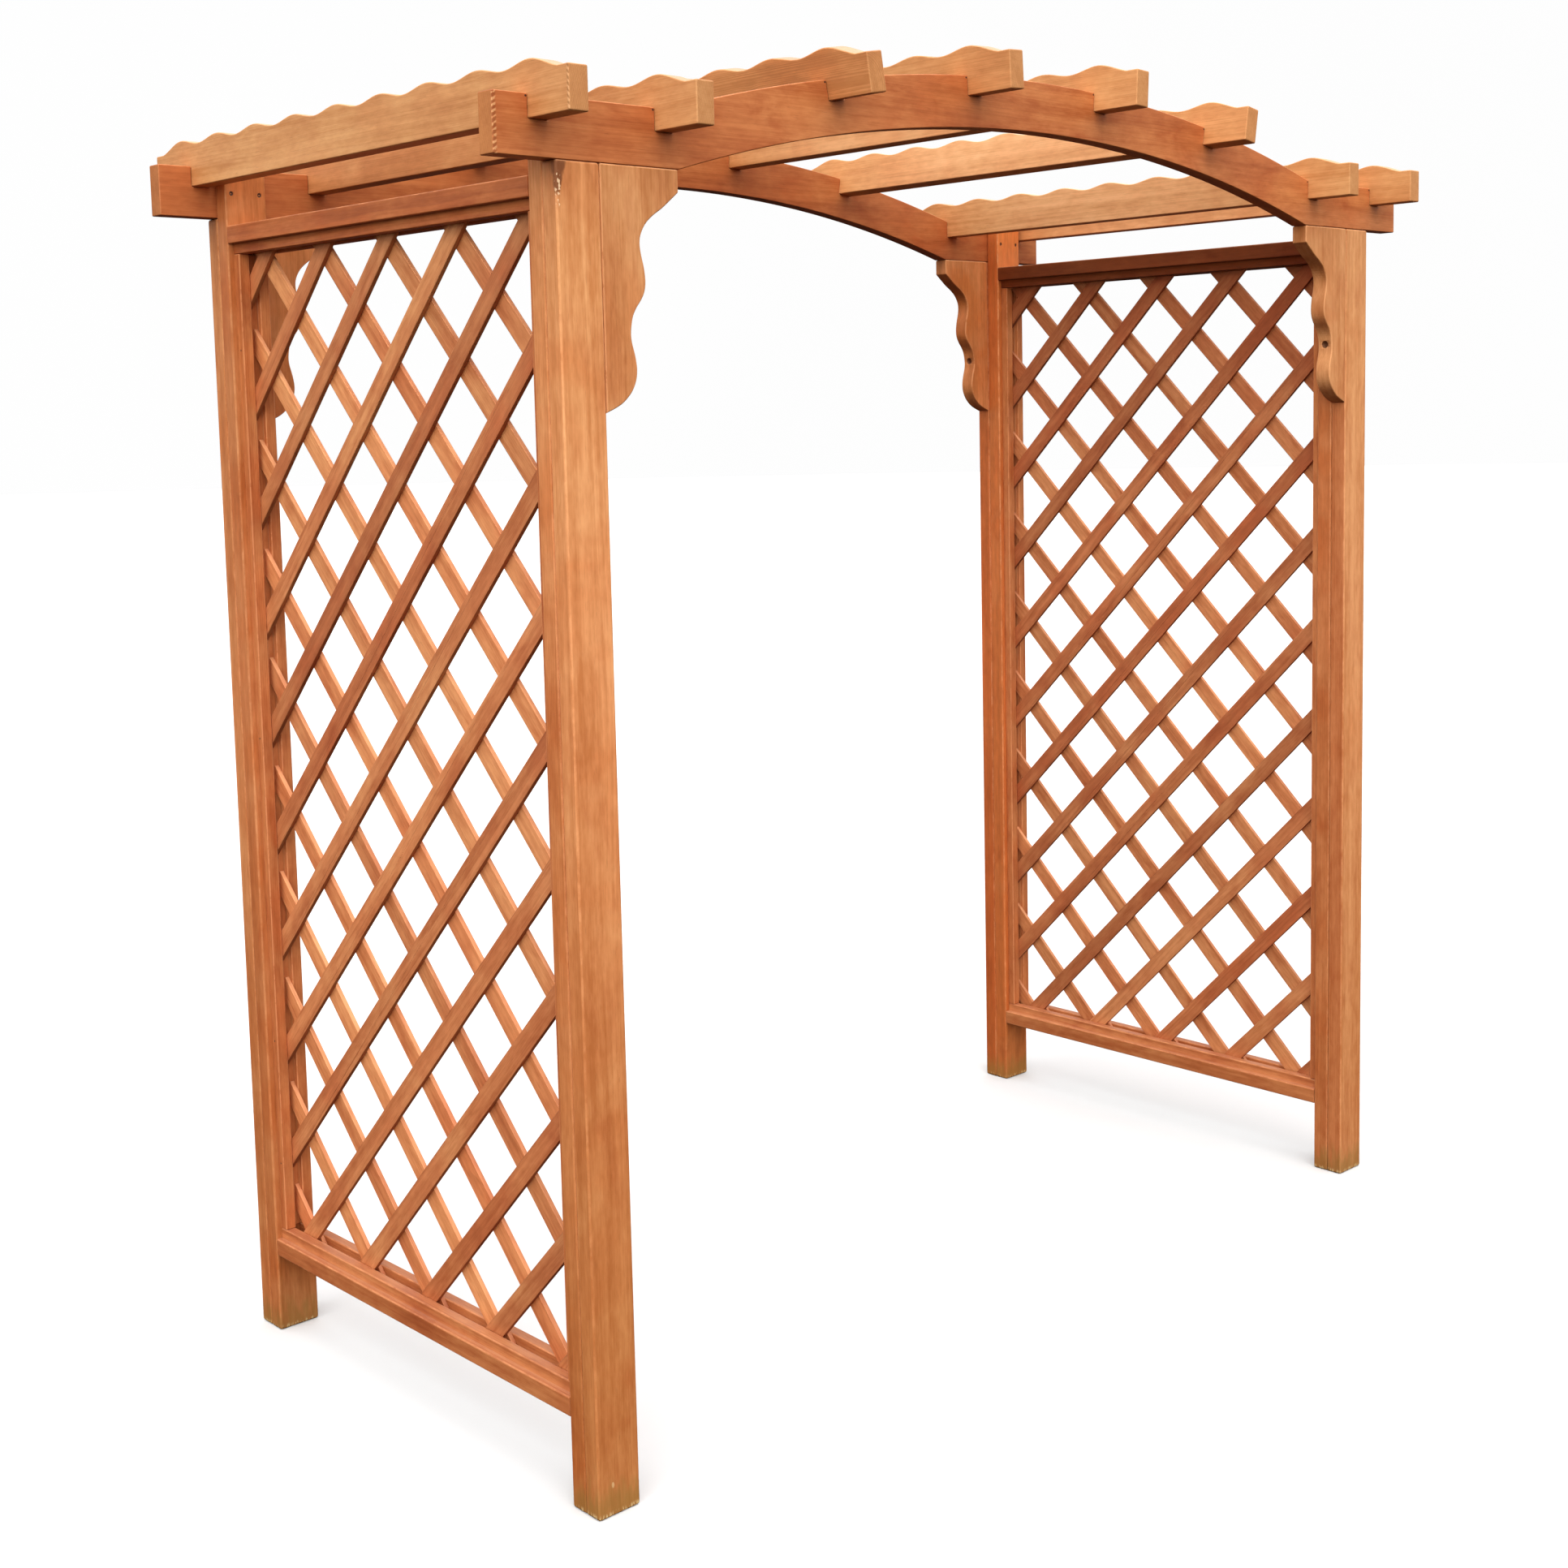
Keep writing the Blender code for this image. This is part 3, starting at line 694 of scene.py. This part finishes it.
def post_board(face, sy, side, layer):
    node = f"post_{face}_{side}_{layer}_board"
    low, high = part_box(node)
    size = high - low
    outline = [(0, -size.x / 2), (size.z, -size.x / 2), (size.z, size.x / 2), (0, size.x / 2)]
    bm = slab(outline, size.y, EASED["post"], steps=4)
    # Local X up the board, local Y through it, local Z across it
    origin = Vector(((low.x + high.x) / 2, (low.y + high.y) / 2, low.z))
    matrix = basis(UP, BACK, -RIGHT, origin)
    if layer == "inner":
        inverse = matrix.inverted()
        holes = []
        for n in (1, 2):
            spot = screw_places[f"header_screw_{face}_{side}_{n}"].copy()
            spot.y = low.y if sy > 0 else high.y
            holes.append(pocket(SCREW_HOLE_RADIUS, SCREW_HOLE_DEPTH, inverse @ spot,
                                inverse.to_3x3() @ Vector((0, sy, 0))))
        bm = cut_holes(bm, holes)
    *looks, darker = POST_LOOK[f"{face}_{side}"]
    tone, hue, edge = looks[("outer", "inner").index(layer)]
    add_board(node, bm, matrix, honey, random_pith(), tone, hue + rng.uniform(-0.06, 0.06),
              rng.uniform(0.35, 0.55), rub=1.1, edge=edge, low=darker)


for face, sy in FACES:
    for side, _ in SIDES:
        for layer in ("outer", "inner"):
            post_board(face, sy, side, layer)

# ======================== headers
SOFFIT_HALF_SPAN = 36.5 * IN
SOFFIT_RISE = 5.25 * IN
CROWN_HALF_SPAN = 37.2 * IN
CROWN_RISE = 5.23 * IN
TAIL_HEIGHT = 3.87 * IN
NOTCH_ARCH = 1.5 * IN
NOTCH_TAIL = 1.55 * IN
RAFTER_LEVEL_X = (37.7 * IN, 47.8 * IN)
RAFTER_ARCH_X = (7.4 * IN, 21.9 * IN)
SOFFIT_RADIUS = (SOFFIT_HALF_SPAN ** 2 + SOFFIT_RISE ** 2) / (2 * SOFFIT_RISE)
CROWN_RADIUS = (CROWN_HALF_SPAN ** 2 + CROWN_RISE ** 2) / (2 * CROWN_RISE)
CROWN_CENTRE = HEADER_Z + TAIL_HEIGHT + CROWN_RISE - CROWN_RADIUS
# Half the width of a notch, and how clear of its mouth the crown's points keep
NOTCH_HALF = BOARD / 2 + 0.0006
NOTCH_CLEAR = 0.006
SOFFIT_STEPS = 56
CROWN_STEPS = 60
# How far in from its middle, and how high above its underside, a header's pith lies
HEADER_PITH = (0.07, 0.11)
# Tone, redness, and whether the left end is torn
HEADER_LOOK = {"front": (1.02, 0.14, 1.0), "back": (0.93, 0.35, 0.0)}


def rafter_seats():
    """Where each rafter's underside rests, as x, z and lean, from left to right."""
    seats = []
    for x in RAFTER_LEVEL_X:
        for s in (-1, 1):
            seats.append((s * x, HEADER_Z + TAIL_HEIGHT - NOTCH_TAIL, 0.0))
    seat_radius = CROWN_RADIUS - NOTCH_ARCH
    for x in RAFTER_ARCH_X:
        for s in (-1, 1):
            lean = asin(x / seat_radius) * s
            seats.append((seat_radius * sin(lean), CROWN_CENTRE + seat_radius * cos(lean), lean))
    return sorted(seats)


def header_top(x):
    """The height of the header's upper edge"""
    if abs(x) >= CROWN_HALF_SPAN:
        return HEADER_Z + TAIL_HEIGHT
    return CROWN_CENTRE + sqrt(CROWN_RADIUS ** 2 - x * x)


def header_outline():
    """Underside left to right, then the top right to left with its notches."""
    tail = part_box("header_front")[1].x
    points = [(-tail, HEADER_Z)]
    centre = HEADER_Z + SOFFIT_RISE - SOFFIT_RADIUS
    swing = asin(SOFFIT_HALF_SPAN / SOFFIT_RADIUS)
    for i in range(SOFFIT_STEPS + 1):
        a = -swing + 2 * swing * i / SOFFIT_STEPS
        points.append((SOFFIT_RADIUS * sin(a), centre + SOFFIT_RADIUS * cos(a)))
    points += [(tail, HEADER_Z), (tail, HEADER_Z + TAIL_HEIGHT)]
    half = NOTCH_HALF
    notches = []
    for x, z, lean in reversed(rafter_seats()):
        floor = z - GAP
        corners = []
        for side in (1, -1):
            if lean:
                rise = sqrt(CROWN_RADIUS ** 2 - half * half)
                top = (rise * sin(lean) + side * half * cos(lean),
                       CROWN_CENTRE + rise * cos(lean) - side * half * sin(lean))
            else:
                top = (x + side * half, header_top(x + side * half))
            foot = (x + side * half * cos(lean), floor - side * half * sin(lean))
            corners.append((top, foot))
        (right_top, right_foot), (left_top, left_foot) = corners
        notches.append((right_top, right_foot, left_foot, left_top))
    x = tail
    step = 2 * CROWN_HALF_SPAN / CROWN_STEPS
    samples = [CROWN_HALF_SPAN - step * k for k in range(CROWN_STEPS + 1)]
    for notch in notches + [None]:
        stop = notch[0][0] if notch else -tail
        points += [(s, header_top(s)) for s in samples
                   if stop + NOTCH_CLEAR < s < x - NOTCH_CLEAR]
        if notch:
            points += notch
            x = notch[3][0]
    points.append((-tail, HEADER_Z + TAIL_HEIGHT))
    return points


for face, sy in FACES:
    node = f"header_{face}"
    low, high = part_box(node)
    bm = slab(header_outline(), high.y - low.y, EASED["header"])
    matrix = Matrix.Translation((0, (low.y + high.y) / 2, 0))
    tone, hue, torn = HEADER_LOOK[face]
    add_board(node, bm, matrix, russet, (sy * -HEADER_PITH[0], HEADER_Z + HEADER_PITH[1]),
              tone, hue, torn=torn)

# ======================== rafters
SCALLOP_PITCH = 5.8 * IN
SCALLOP_COUNT = 9
SCALLOP_MEAN = 3.44 * IN
SCALLOP_SWING = 0.21 * IN
RAFTER_END_HEIGHT = 2.85 * IN
# The share of half a scallop that runs down to each end
SCALLOP_END = 1.2
SCALLOP_STEPS = 16
# Tone, redness and boldness of figure, left to right
RAFTER_LOOK = ((0.95, 0.0, 0.35), (0.90, 0.15, 0.3), (0.97, 0.5, 1.3), (0.95, 0.15, 0.45),
               (0.98, 0.1, 0.4), (1.0, 0.05, 0.3), (0.97, 0.05, 0.35), (0.97, 0.1, 0.3))
# One rafter is sawn close to its pith, and one has a torn end.
PITH_RAFTER, NEAR_PITH = 3, (0.035, 0.02)
TORN_RAFTER, RAFTER_TORN = 1, 1.7


def rafter_outline(half):
    """Flat below, scalloped above, in X along the rafter and Z up"""
    crest_half = SCALLOP_COUNT * SCALLOP_PITCH / 2
    reach = SCALLOP_END * SCALLOP_PITCH / 2
    points = [(-half, 0.0), (half, 0.0), (half, RAFTER_END_HEIGHT)]
    steps = SCALLOP_COUNT * SCALLOP_STEPS
    for i in range(steps + 1):
        u = crest_half - SCALLOP_COUNT * SCALLOP_PITCH * i / steps
        height = SCALLOP_MEAN + SCALLOP_SWING * cos(2 * pi * u / SCALLOP_PITCH)
        out = (abs(u) - (crest_half - reach)) / reach
        if out > 0:
            height -= (SCALLOP_MEAN - SCALLOP_SWING - RAFTER_END_HEIGHT) * out * out
        points.append((u, height))
    points.append((-half, RAFTER_END_HEIGHT))
    return points


for number, (x, z, lean) in enumerate(rafter_seats(), 1):
    node = f"rafter_{number}"
    tone, hue, figure = RAFTER_LOOK[number - 1]
    low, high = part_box(node)
    bm = slab(rafter_outline(high.y), BOARD, EASED["rafter"])
    matrix = (Matrix.Translation((x, 0, z)) @ Matrix.Rotation(lean, 4, "Y")
              @ Matrix.Rotation(pi / 2, 4, "Z"))
    pith = NEAR_PITH if number == PITH_RAFTER else random_pith(rng.random() < 0.6)
    add_board(node, bm, matrix, amber, pith, tone, hue, figure, slot="cedar_rafter",
              torn=RAFTER_TORN if number == TORN_RAFTER else 0.0)

# ======================== knee brackets
# The wavy edge, in inches out from the post and down from the header
BRACKET_EDGE = (
    (6.5, 0.0), (6.5, 1.5), (5.75, 2.1), (5.05, 2.64), (4.3, 3.12), (3.65, 3.7), (3.25, 4.39),
    (3.15, 5.0), (3.25, 5.7), (3.45, 6.5), (3.55, 7.36), (3.45, 8.04), (3.15, 8.6),
    (2.75, 9.11), (2.45, 9.63), (2.3, 10.2), (2.23, 10.8), (2.28, 11.35), (2.45, 11.95),
    (2.58, 12.5), (2.65, 13.15), (2.55, 13.83), (2.25, 14.46), (1.85, 14.93), (1.35, 15.34),
    (0.75, 15.65), (0.0, 15.95),
)
BORE_RADIUS = 0.0085
# How far out from the post the mouth of the counterbore is
BORE_MOUTH = 2.25 * IN
# Tone and redness
BRACKET_LOOK = {"front": (0.98, 0.0), "back": (1.03, 0.45)}


def smooth_edge(points, per=3):
    """Catmull-Rom through the points but the first, which is kept as a straight nose."""
    nose, *run = [Vector(p) for p in points]
    out = [nose]
    for i in range(len(run) - 1):
        p0 = run[max(i - 1, 0)]
        p1, p2 = run[i], run[i + 1]
        p3 = run[min(i + 2, len(run) - 1)]
        for k in range(per):
            t = k / per
            out.append(0.5 * ((2 * p1) + (p2 - p0) * t + (2 * p0 - 5 * p1 + 4 * p2 - p3) * t * t
                              + (3 * p1 - p0 - 3 * p2 + p3) * t ** 3))
    out.append(run[-1])
    return out


for face, sy in FACES:
    for side, sx in SIDES:
        node = f"bracket_{face}_{side}"
        low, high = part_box(node)
        edge = [(p.x * IN, p.y * IN + GAP) for p in smooth_edge(BRACKET_EDGE)]
        # Local X runs down the bracket, local Z out from the post
        outline = [(GAP, GAP)] + [(drop, out) for out, drop in edge[:-1]] + [(edge[-1][1], GAP)]
        bm = slab(outline, high.y - low.y, EASED["bracket"])
        post_x = low.x - GAP if sx < 0 else high.x + GAP
        origin = Vector((post_x, (low.y + high.y) / 2, HEADER_Z))
        matrix = basis(-UP, sx * -BACK, -sx * RIGHT, origin)
        spot = screw_places[f"bracket_screw_{face}_{side}"].copy()
        screw_low, screw_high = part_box(f"bracket_screw_{face}_{side}")
        spot.x = post_x - sx * BORE_MOUTH
        sunk = BORE_MOUTH - abs(post_x - (screw_low.x if sx > 0 else screw_high.x))
        inverse = matrix.inverted()
        bm = cut_holes(bm, [pocket(BORE_RADIUS, sunk, inverse @ spot,
                                   inverse.to_3x3() @ Vector((sx, 0, 0)))])
        # The wall of the bore is marked for its painted shade.
        arris = bm.verts.layers.float["arris"]
        for v in bm.verts:
            aside = matrix @ v.co - spot
            if Vector((aside.y, aside.z)).length < BORE_RADIUS + 0.0001:
                v[arris] = -1.0
        add_board(node, bm, matrix, honey, random_pith(), *BRACKET_LOOK[face], rub=4.0)

# ======================== lattice frames
MOULD_BASE = 1.4 * IN
MOULD_LIP = 0.8 * IN
LIP_MARGIN = 0.5 * IN
GROOVE = 0.75 * IN
STILE_WEB = 0.2 * IN
# Tone and redness; the right top rail's low tone is painted shade under the roof
RAIL_LOOK = {"left_bottom": (0.93, 0.0), "left_top": (1.05, 0.5), "right_bottom": (0.97, -0.1),
             "right_top": (0.55, 0.85)}
# How much darker the frames stand near the ground
FRAME_LOW = 0.27


def channel(width, base, lip_margin):
    """A grooved moulding: a base with two lips that hold the laths between them."""
    half = width / 2
    lip = half - lip_margin
    slot = GROOVE / 2
    top = base + MOULD_LIP
    step = [(half, base), (lip, base)] if lip_margin else []
    right = [(half, 0)] + step + [(lip, top), (slot, top), (slot, base)]
    return right + [(-y, z) for y, z in reversed(right)]


for side, _ in SIDES:
    for label, up in (("bottom", 1), ("top", -1)):
        node = f"side_{side}_{label}_rail"
        low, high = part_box(node)
        bm = profile_bar(channel(POST_WIDTH, MOULD_BASE, LIP_MARGIN), high.y - low.y,
                         EASED["rail"])
        origin = Vector(((low.x + high.x) / 2, low.y, low.z if up > 0 else high.z))
        matrix = basis(BACK, -up * RIGHT, up * UP, origin)
        add_board(node, bm, matrix, russet, random_pith(), *RAIL_LOOK[f"{side}_{label}"], 0.45,
                  low=FRAME_LOW)
    for face, sy in FACES:
        node = f"side_{side}_{face}_stile"
        low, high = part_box(node)
        outline = [(y, max(0.0, z - MOULD_BASE + STILE_WEB)) if z else (y, z)
                   for y, z in channel(high.x - low.x, MOULD_BASE, 0.0)]
        outline = [(y, min(z, MOULD_LIP)) for y, z in outline]
        bm = profile_bar(outline, high.z - low.z, EASED["stile"])
        origin = Vector(((low.x + high.x) / 2, low.y if sy < 0 else high.y, low.z))
        matrix = basis(UP, sy * RIGHT, -sy * BACK, origin)
        add_board(node, bm, matrix, russet, random_pith(), rng.uniform(1.02, 1.08),
                  rng.uniform(-0.1, 0.1), 0.4, rub=5.0, low=FRAME_LOW)

# ======================== laths
LATH_WIDTH = 1.52 * IN
LATH_PITCH = 8.71 * IN
LATH_COUNT = 14
# Half the length of a lath before the frame cuts it off
LATH_REACH = 2.0
# How far the laths wander from their pitch, from 45 degrees and from their width
LATH_SHIFT = 0.0012
LATH_TILT = 0.12
LATH_WIDER = 0.0004
# Half the play between the two layers
LAYER_PLAY = 0.0002
# Tone and redness, and how much darker they stand near the ground
LATH_LOOK = {"left_outer": (1.0, 0.1), "left_inner": (1.12, -0.12), "right_outer": (0.96, 0.3),
             "right_inner": (1.06, -0.05)}
LATH_LOW = 0.22
# The heights where a side's first outer and first inner lath cross its middle
LATH_START = {"left": (-9.28 * IN, -8.8 * IN), "right": (-9.54 * IN, -9.76 * IN)}


def clip_to_box(points, low, high):
    """Cuts a polygon in (y, z) to the box."""
    for axis in (0, 1):
        for bound, keep in ((low[axis], 1), (high[axis], -1)):
            out = []
            for p, q in zip(points, points[1:] + points[:1]):
                inside = keep * (p[axis] - bound) >= 0
                if inside:
                    out.append(p)
                if inside != (keep * (q[axis] - bound) >= 0):
                    out.append(p + (q - p) * ((bound - p[axis]) / (q[axis] - p[axis])))
            points = out
    return points


for side, _ in SIDES:
    node = f"lattice_{side}"
    low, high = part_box(node)
    middle_x = (low.x + high.x) / 2
    thick = (high.x - low.x) / 2 - GAP
    box_low, box_high = (low.y, low.z), (high.y, high.z)
    centre = (low.z + high.z) / 2
    for layer, direction, first in (("outer", 1, LATH_START[side][0]),
                                    ("inner", -1, LATH_START[side][1])):
        for k in range(LATH_COUNT):
            level = first + k * LATH_PITCH + rng.uniform(-LATH_SHIFT, LATH_SHIFT)
            tilt = radians(45 + rng.uniform(-LATH_TILT, LATH_TILT))
            along = Vector((-direction * cos(tilt), sin(tilt)))
            over = Vector((along.y, -along.x))
            middle = Vector((direction * (level - centre) / 2, (level + centre) / 2))
            half = LATH_WIDTH / 2 + rng.uniform(-LATH_WIDER, LATH_WIDER)
            corners = [middle + along * s * LATH_REACH + over * half * t
                       for s, t in ((-1, -1), (1, -1), (1, 1), (-1, 1))]
            shape = clip_to_box(corners, box_low, box_high)
            if len(shape) < 3:
                continue
            local = [((p - middle).dot(along), (p - middle).dot(over)) for p in shape]
            bm = slab(local, thick, EASED["lath"], steps=2)
            x = middle_x + (-1 if layer == "outer" else 1) * (thick / 2 + LAYER_PLAY)
            along3 = Vector((0, along.x, along.y))
            over3 = Vector((0, over.x, over.y))
            matrix = basis(along3, over3.cross(along3), over3, Vector((x, middle.x, middle.y)))
            tone, hue = LATH_LOOK[f"{side}_{layer}"]
            add_piece(f"lath_{side}_{layer}_{k + 1:02d}", bm, matrix, lath_wood[side],
                      "cedar_lattice", [node], random_pith(rng.random() < 0.7),
                      tone * rng.uniform(0.9, 1.08), hue + rng.uniform(-0.3, 0.3),
                      rng.uniform(0.2, 0.6), low=LATH_LOW)

# ======================== screws
SCREW_HEAD_RADIUS = 0.0041
SHANK_RADIUS = 0.0022
# The depth of the cross recess's edge, and how far its arms are drawn out
RECESS_RIM = 0.0002
RECESS_ARM = 1.7


def screw_head(radius, length):
    """Countersunk head with a rim and a cross recess, shank below, pointing along +Z."""
    bm = turned([(0.0, 0.0011), (radius * 0.28, 0.0011), (radius * 0.34, RECESS_RIM),
                 (radius * 0.88, 0.0), (radius, 0.0003), (radius * 0.97, 0.0009),
                 (SHANK_RADIUS, 0.0030), (SHANK_RADIUS, length - 0.006), (0.0, length)], 24)
    for v in bm.verts:
        angle = Vector((v.co.x, v.co.y)).angle_signed(Vector((1, 0)), 0.0)
        if abs(v.co.z - RECESS_RIM) < 0.00005 and abs(sin(2 * angle)) < 0.5:
            v.co.x *= RECESS_ARM
            v.co.y *= RECESS_ARM
    return bm


for name in sorted(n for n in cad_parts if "screw" in n):
    low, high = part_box(name)
    size = high - low
    middle = (low + high) / 2
    if name.startswith("header"):
        way = Vector((0, 1 if middle.y > 0 else -1, 0))
    else:
        way = Vector((1 if middle.x > 0 else -1, 0, 0))
    length = abs(size.dot(way))
    add_piece(name + "_head", screw_head(SCREW_HEAD_RADIUS, length),
              pointing(way, middle - way * length / 2), steel, "screw_steel", [name])

# ======================== nails
NAIL_RADIUS = 0.0019
NAIL_RISE = 0.0004
# How far left of its rafter and below the upper edge a header's nail sits
NAIL_ASIDE = 0.0042
NAIL_BELOW = 0.0045
STILE_NAIL_HEIGHTS = (0.36, 0.62, 1.25, 2.03)


def nail_head(radius, rise):
    """A low domed head, its flat side at Z = 0."""
    return turned([(0.0, rise), (radius * 0.55, rise * 0.85), (radius * 0.9, rise * 0.4),
                   (radius, 0.00012), (radius * 0.96, 0.00004), (0.0, 0.00004)], 12)


nails = []
for face, sy in FACES:
    low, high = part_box(f"header_{face}")
    for x, z, lean in rafter_seats():
        if lean:
            x = CROWN_RADIUS * sin(lean)
        x -= BOARD / 2 * cos(lean) + NAIL_ASIDE
        nails.append((Vector((x, low.y if sy < 0 else high.y, header_top(x) - NAIL_BELOW)),
                      Vector((0, sy, 0))))
for side, sx in SIDES:
    for face, sy in FACES:
        low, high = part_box(f"side_{side}_{face}_stile")
        for z in STILE_NAIL_HEIGHTS:
            x = low.x if side == "left" else high.x
            nails.append((Vector((x, (low.y + high.y) / 2 + rng.uniform(-0.002, 0.002), z)),
                          Vector((sx, 0, 0))))
for number, (spot, way) in enumerate(nails, 1):
    add_piece(f"nail_{number:02d}", nail_head(NAIL_RADIUS, NAIL_RISE), pointing(way, spot), steel,
              "screw_steel", [])

# ======================== offcuts
# A wedge sawn off a lath has stayed in the groove beside the foot of each outer lath.
OFFCUT = ((0.006, 0.0), (0.036, 0.0), (0.0345, 0.006), (0.017, 0.0235), (0.009, 0.0235),
          (0.005, 0.018))
OFFCUT_THICK = 0.0085
# How far it lies from the middle of the groove, towards the inner layer
OFFCUT_ASIDE = 0.0048
# From a lath's middle to its lower edge, along the groove, as a share of its width
FOOT_SHARE = 0.72
# No offcut lies this close to the back and the front end of the rail.
OFFCUT_MARGIN = (0.05, 0.06)
for side, _ in SIDES:
    low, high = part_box(f"side_{side}_bottom_rail")
    bed = low.z + MOULD_BASE + GAP
    count = 0
    for k in range(LATH_COUNT):
        foot = LATH_START[side][0] + k * LATH_PITCH - bed - LATH_WIDTH * FOOT_SHARE
        if not low.y + OFFCUT_MARGIN[0] < foot < high.y - OFFCUT_MARGIN[1]:
            continue
        count += 1
        size = rng.uniform(0.85, 1.08)
        bm = slab([(x * size, z * size) for x, z in OFFCUT], OFFCUT_THICK, EASED["offcut"],
                  steps=2)
        origin = Vector(((low.x + high.x) / 2 + OFFCUT_ASIDE, foot, bed))
        add_piece(f"offcut_{side}_{count:02d}", bm, basis(-BACK, RIGHT, UP, origin),
                  lath_wood[side], "cedar_lattice", [], random_pith(),
                  rng.uniform(0.95, 1.1), rng.uniform(0.1, 0.5), 0.5, rub=1.5)

# ======================== stage, lights, camera
STAGE_RADIUS = 70.0
FLOOR_Z = -0.0005
SKY_HEIGHT = 90.0
# The sky by height, from straight down (0) to straight up (1): ground, horizon, zenith
SKY = ((0.47, (0.040, 0.030, 0.022)), (0.53, (0.42, 0.42, 0.42)), (1.0, (1.0, 1.0, 1.0)))
SKY_STRENGTH = 1.62
# The key light's way, strength, spread in degrees and colour
KEY_WAY = (0.52, 0.60, -0.62)
KEY_STRENGTH = 2.75
KEY_SPREAD = 95
KEY_COLOUR = (1.0, 0.985, 0.96)
CAMERA_PLACE = (-3.2076, -3.3296, 1.8665)
CAMERA_TURN = (1.46487, 0.01980, -0.75973)
SENSOR_WIDTH = 36.0
LENS = 47.784
SHIFT = (-0.0266, -0.0900)


def stage_material(name, socket, shades, scale, detail=2.0, **rest):
    """Two close shades in slow clouds; rest sets the shader's other sockets."""
    g = Graph(bpy.data.materials.new(name))
    place = g.node("ShaderNodeTexCoord").outputs["Object"]
    g.set(socket, g.mix(g.noise(place, scale, detail), *shades))
    for key, value in rest.items():
        g.set(key.replace("_", " "), value)
    return g.owner


def stage_piece(name, bm, mat):
    ob = new_object(name, bm)
    ob.data.materials.append(mat)
    ob.location.z = FLOOR_Z
    # The stage is for the eye only: it throws no light back up under the arbor.
    ob.visible_diffuse = False
    ob.visible_glossy = False
    return ob


bm = bmesh.new()
bmesh.ops.create_circle(bm, cap_ends=True, segments=96, radius=STAGE_RADIUS)
stage_piece("floor", bm, stage_material(
    "pale_floor", "Base Color", ((0.76, 0.76, 0.765), (0.79, 0.79, 0.79)), 1.4, 3.0,
    Roughness=0.9, Specular_IOR_Level=0.1))
bm = bmesh.new()
bmesh.ops.create_circle(bm, segments=96, radius=STAGE_RADIUS - 1.0)
wall = bmesh.ops.extrude_edge_only(bm, edges=bm.edges[:])
bmesh.ops.translate(bm, verts=[v for v in wall["geom"] if isinstance(v, bmesh.types.BMVert)],
                    vec=(0, 0, SKY_HEIGHT))
stage_piece("backdrop", bm, stage_material(
    "white_backdrop", "Emission Color", ((0.98, 0.98, 0.98), (1.0, 1.0, 1.0)), 0.05,
    Emission_Strength=1.0, Base_Color=(0.0, 0.0, 0.0, 1.0),
    Specular_IOR_Level=0.0)).visible_shadow = False

# A bright overcast sky, strongest overhead, above dark ground
g = Graph(bpy.data.worlds.new("studio"), "Background")
height = g.split(g.node("ShaderNodeTexCoord").outputs["Generated"])[2]
g.set("Color", g.ramp(g.spread(height, -1.0, 1.0, 0.0, 1.0), SKY))
g.set("Strength", SKY_STRENGTH)
bpy.context.scene.world = g.owner

# The key: a far, very wide lamp
light = bpy.data.lights.new("key", "SUN")
light.energy = KEY_STRENGTH
light.angle = radians(KEY_SPREAD)
light.color = KEY_COLOUR
key = new_object("key", light)
key.rotation_euler = Vector(KEY_WAY).to_track_quat("-Z", "Y").to_euler()

camera_data = bpy.data.cameras.new("camera")
camera_data.sensor_width = SENSOR_WIDTH
camera_data.lens = LENS
camera_data.shift_x, camera_data.shift_y = SHIFT
camera = new_object("camera", camera_data)
camera.location = CAMERA_PLACE
camera.rotation_euler = CAMERA_TURN
bpy.context.scene.camera = camera
bpy.context.scene.view_settings.view_transform = "Standard"
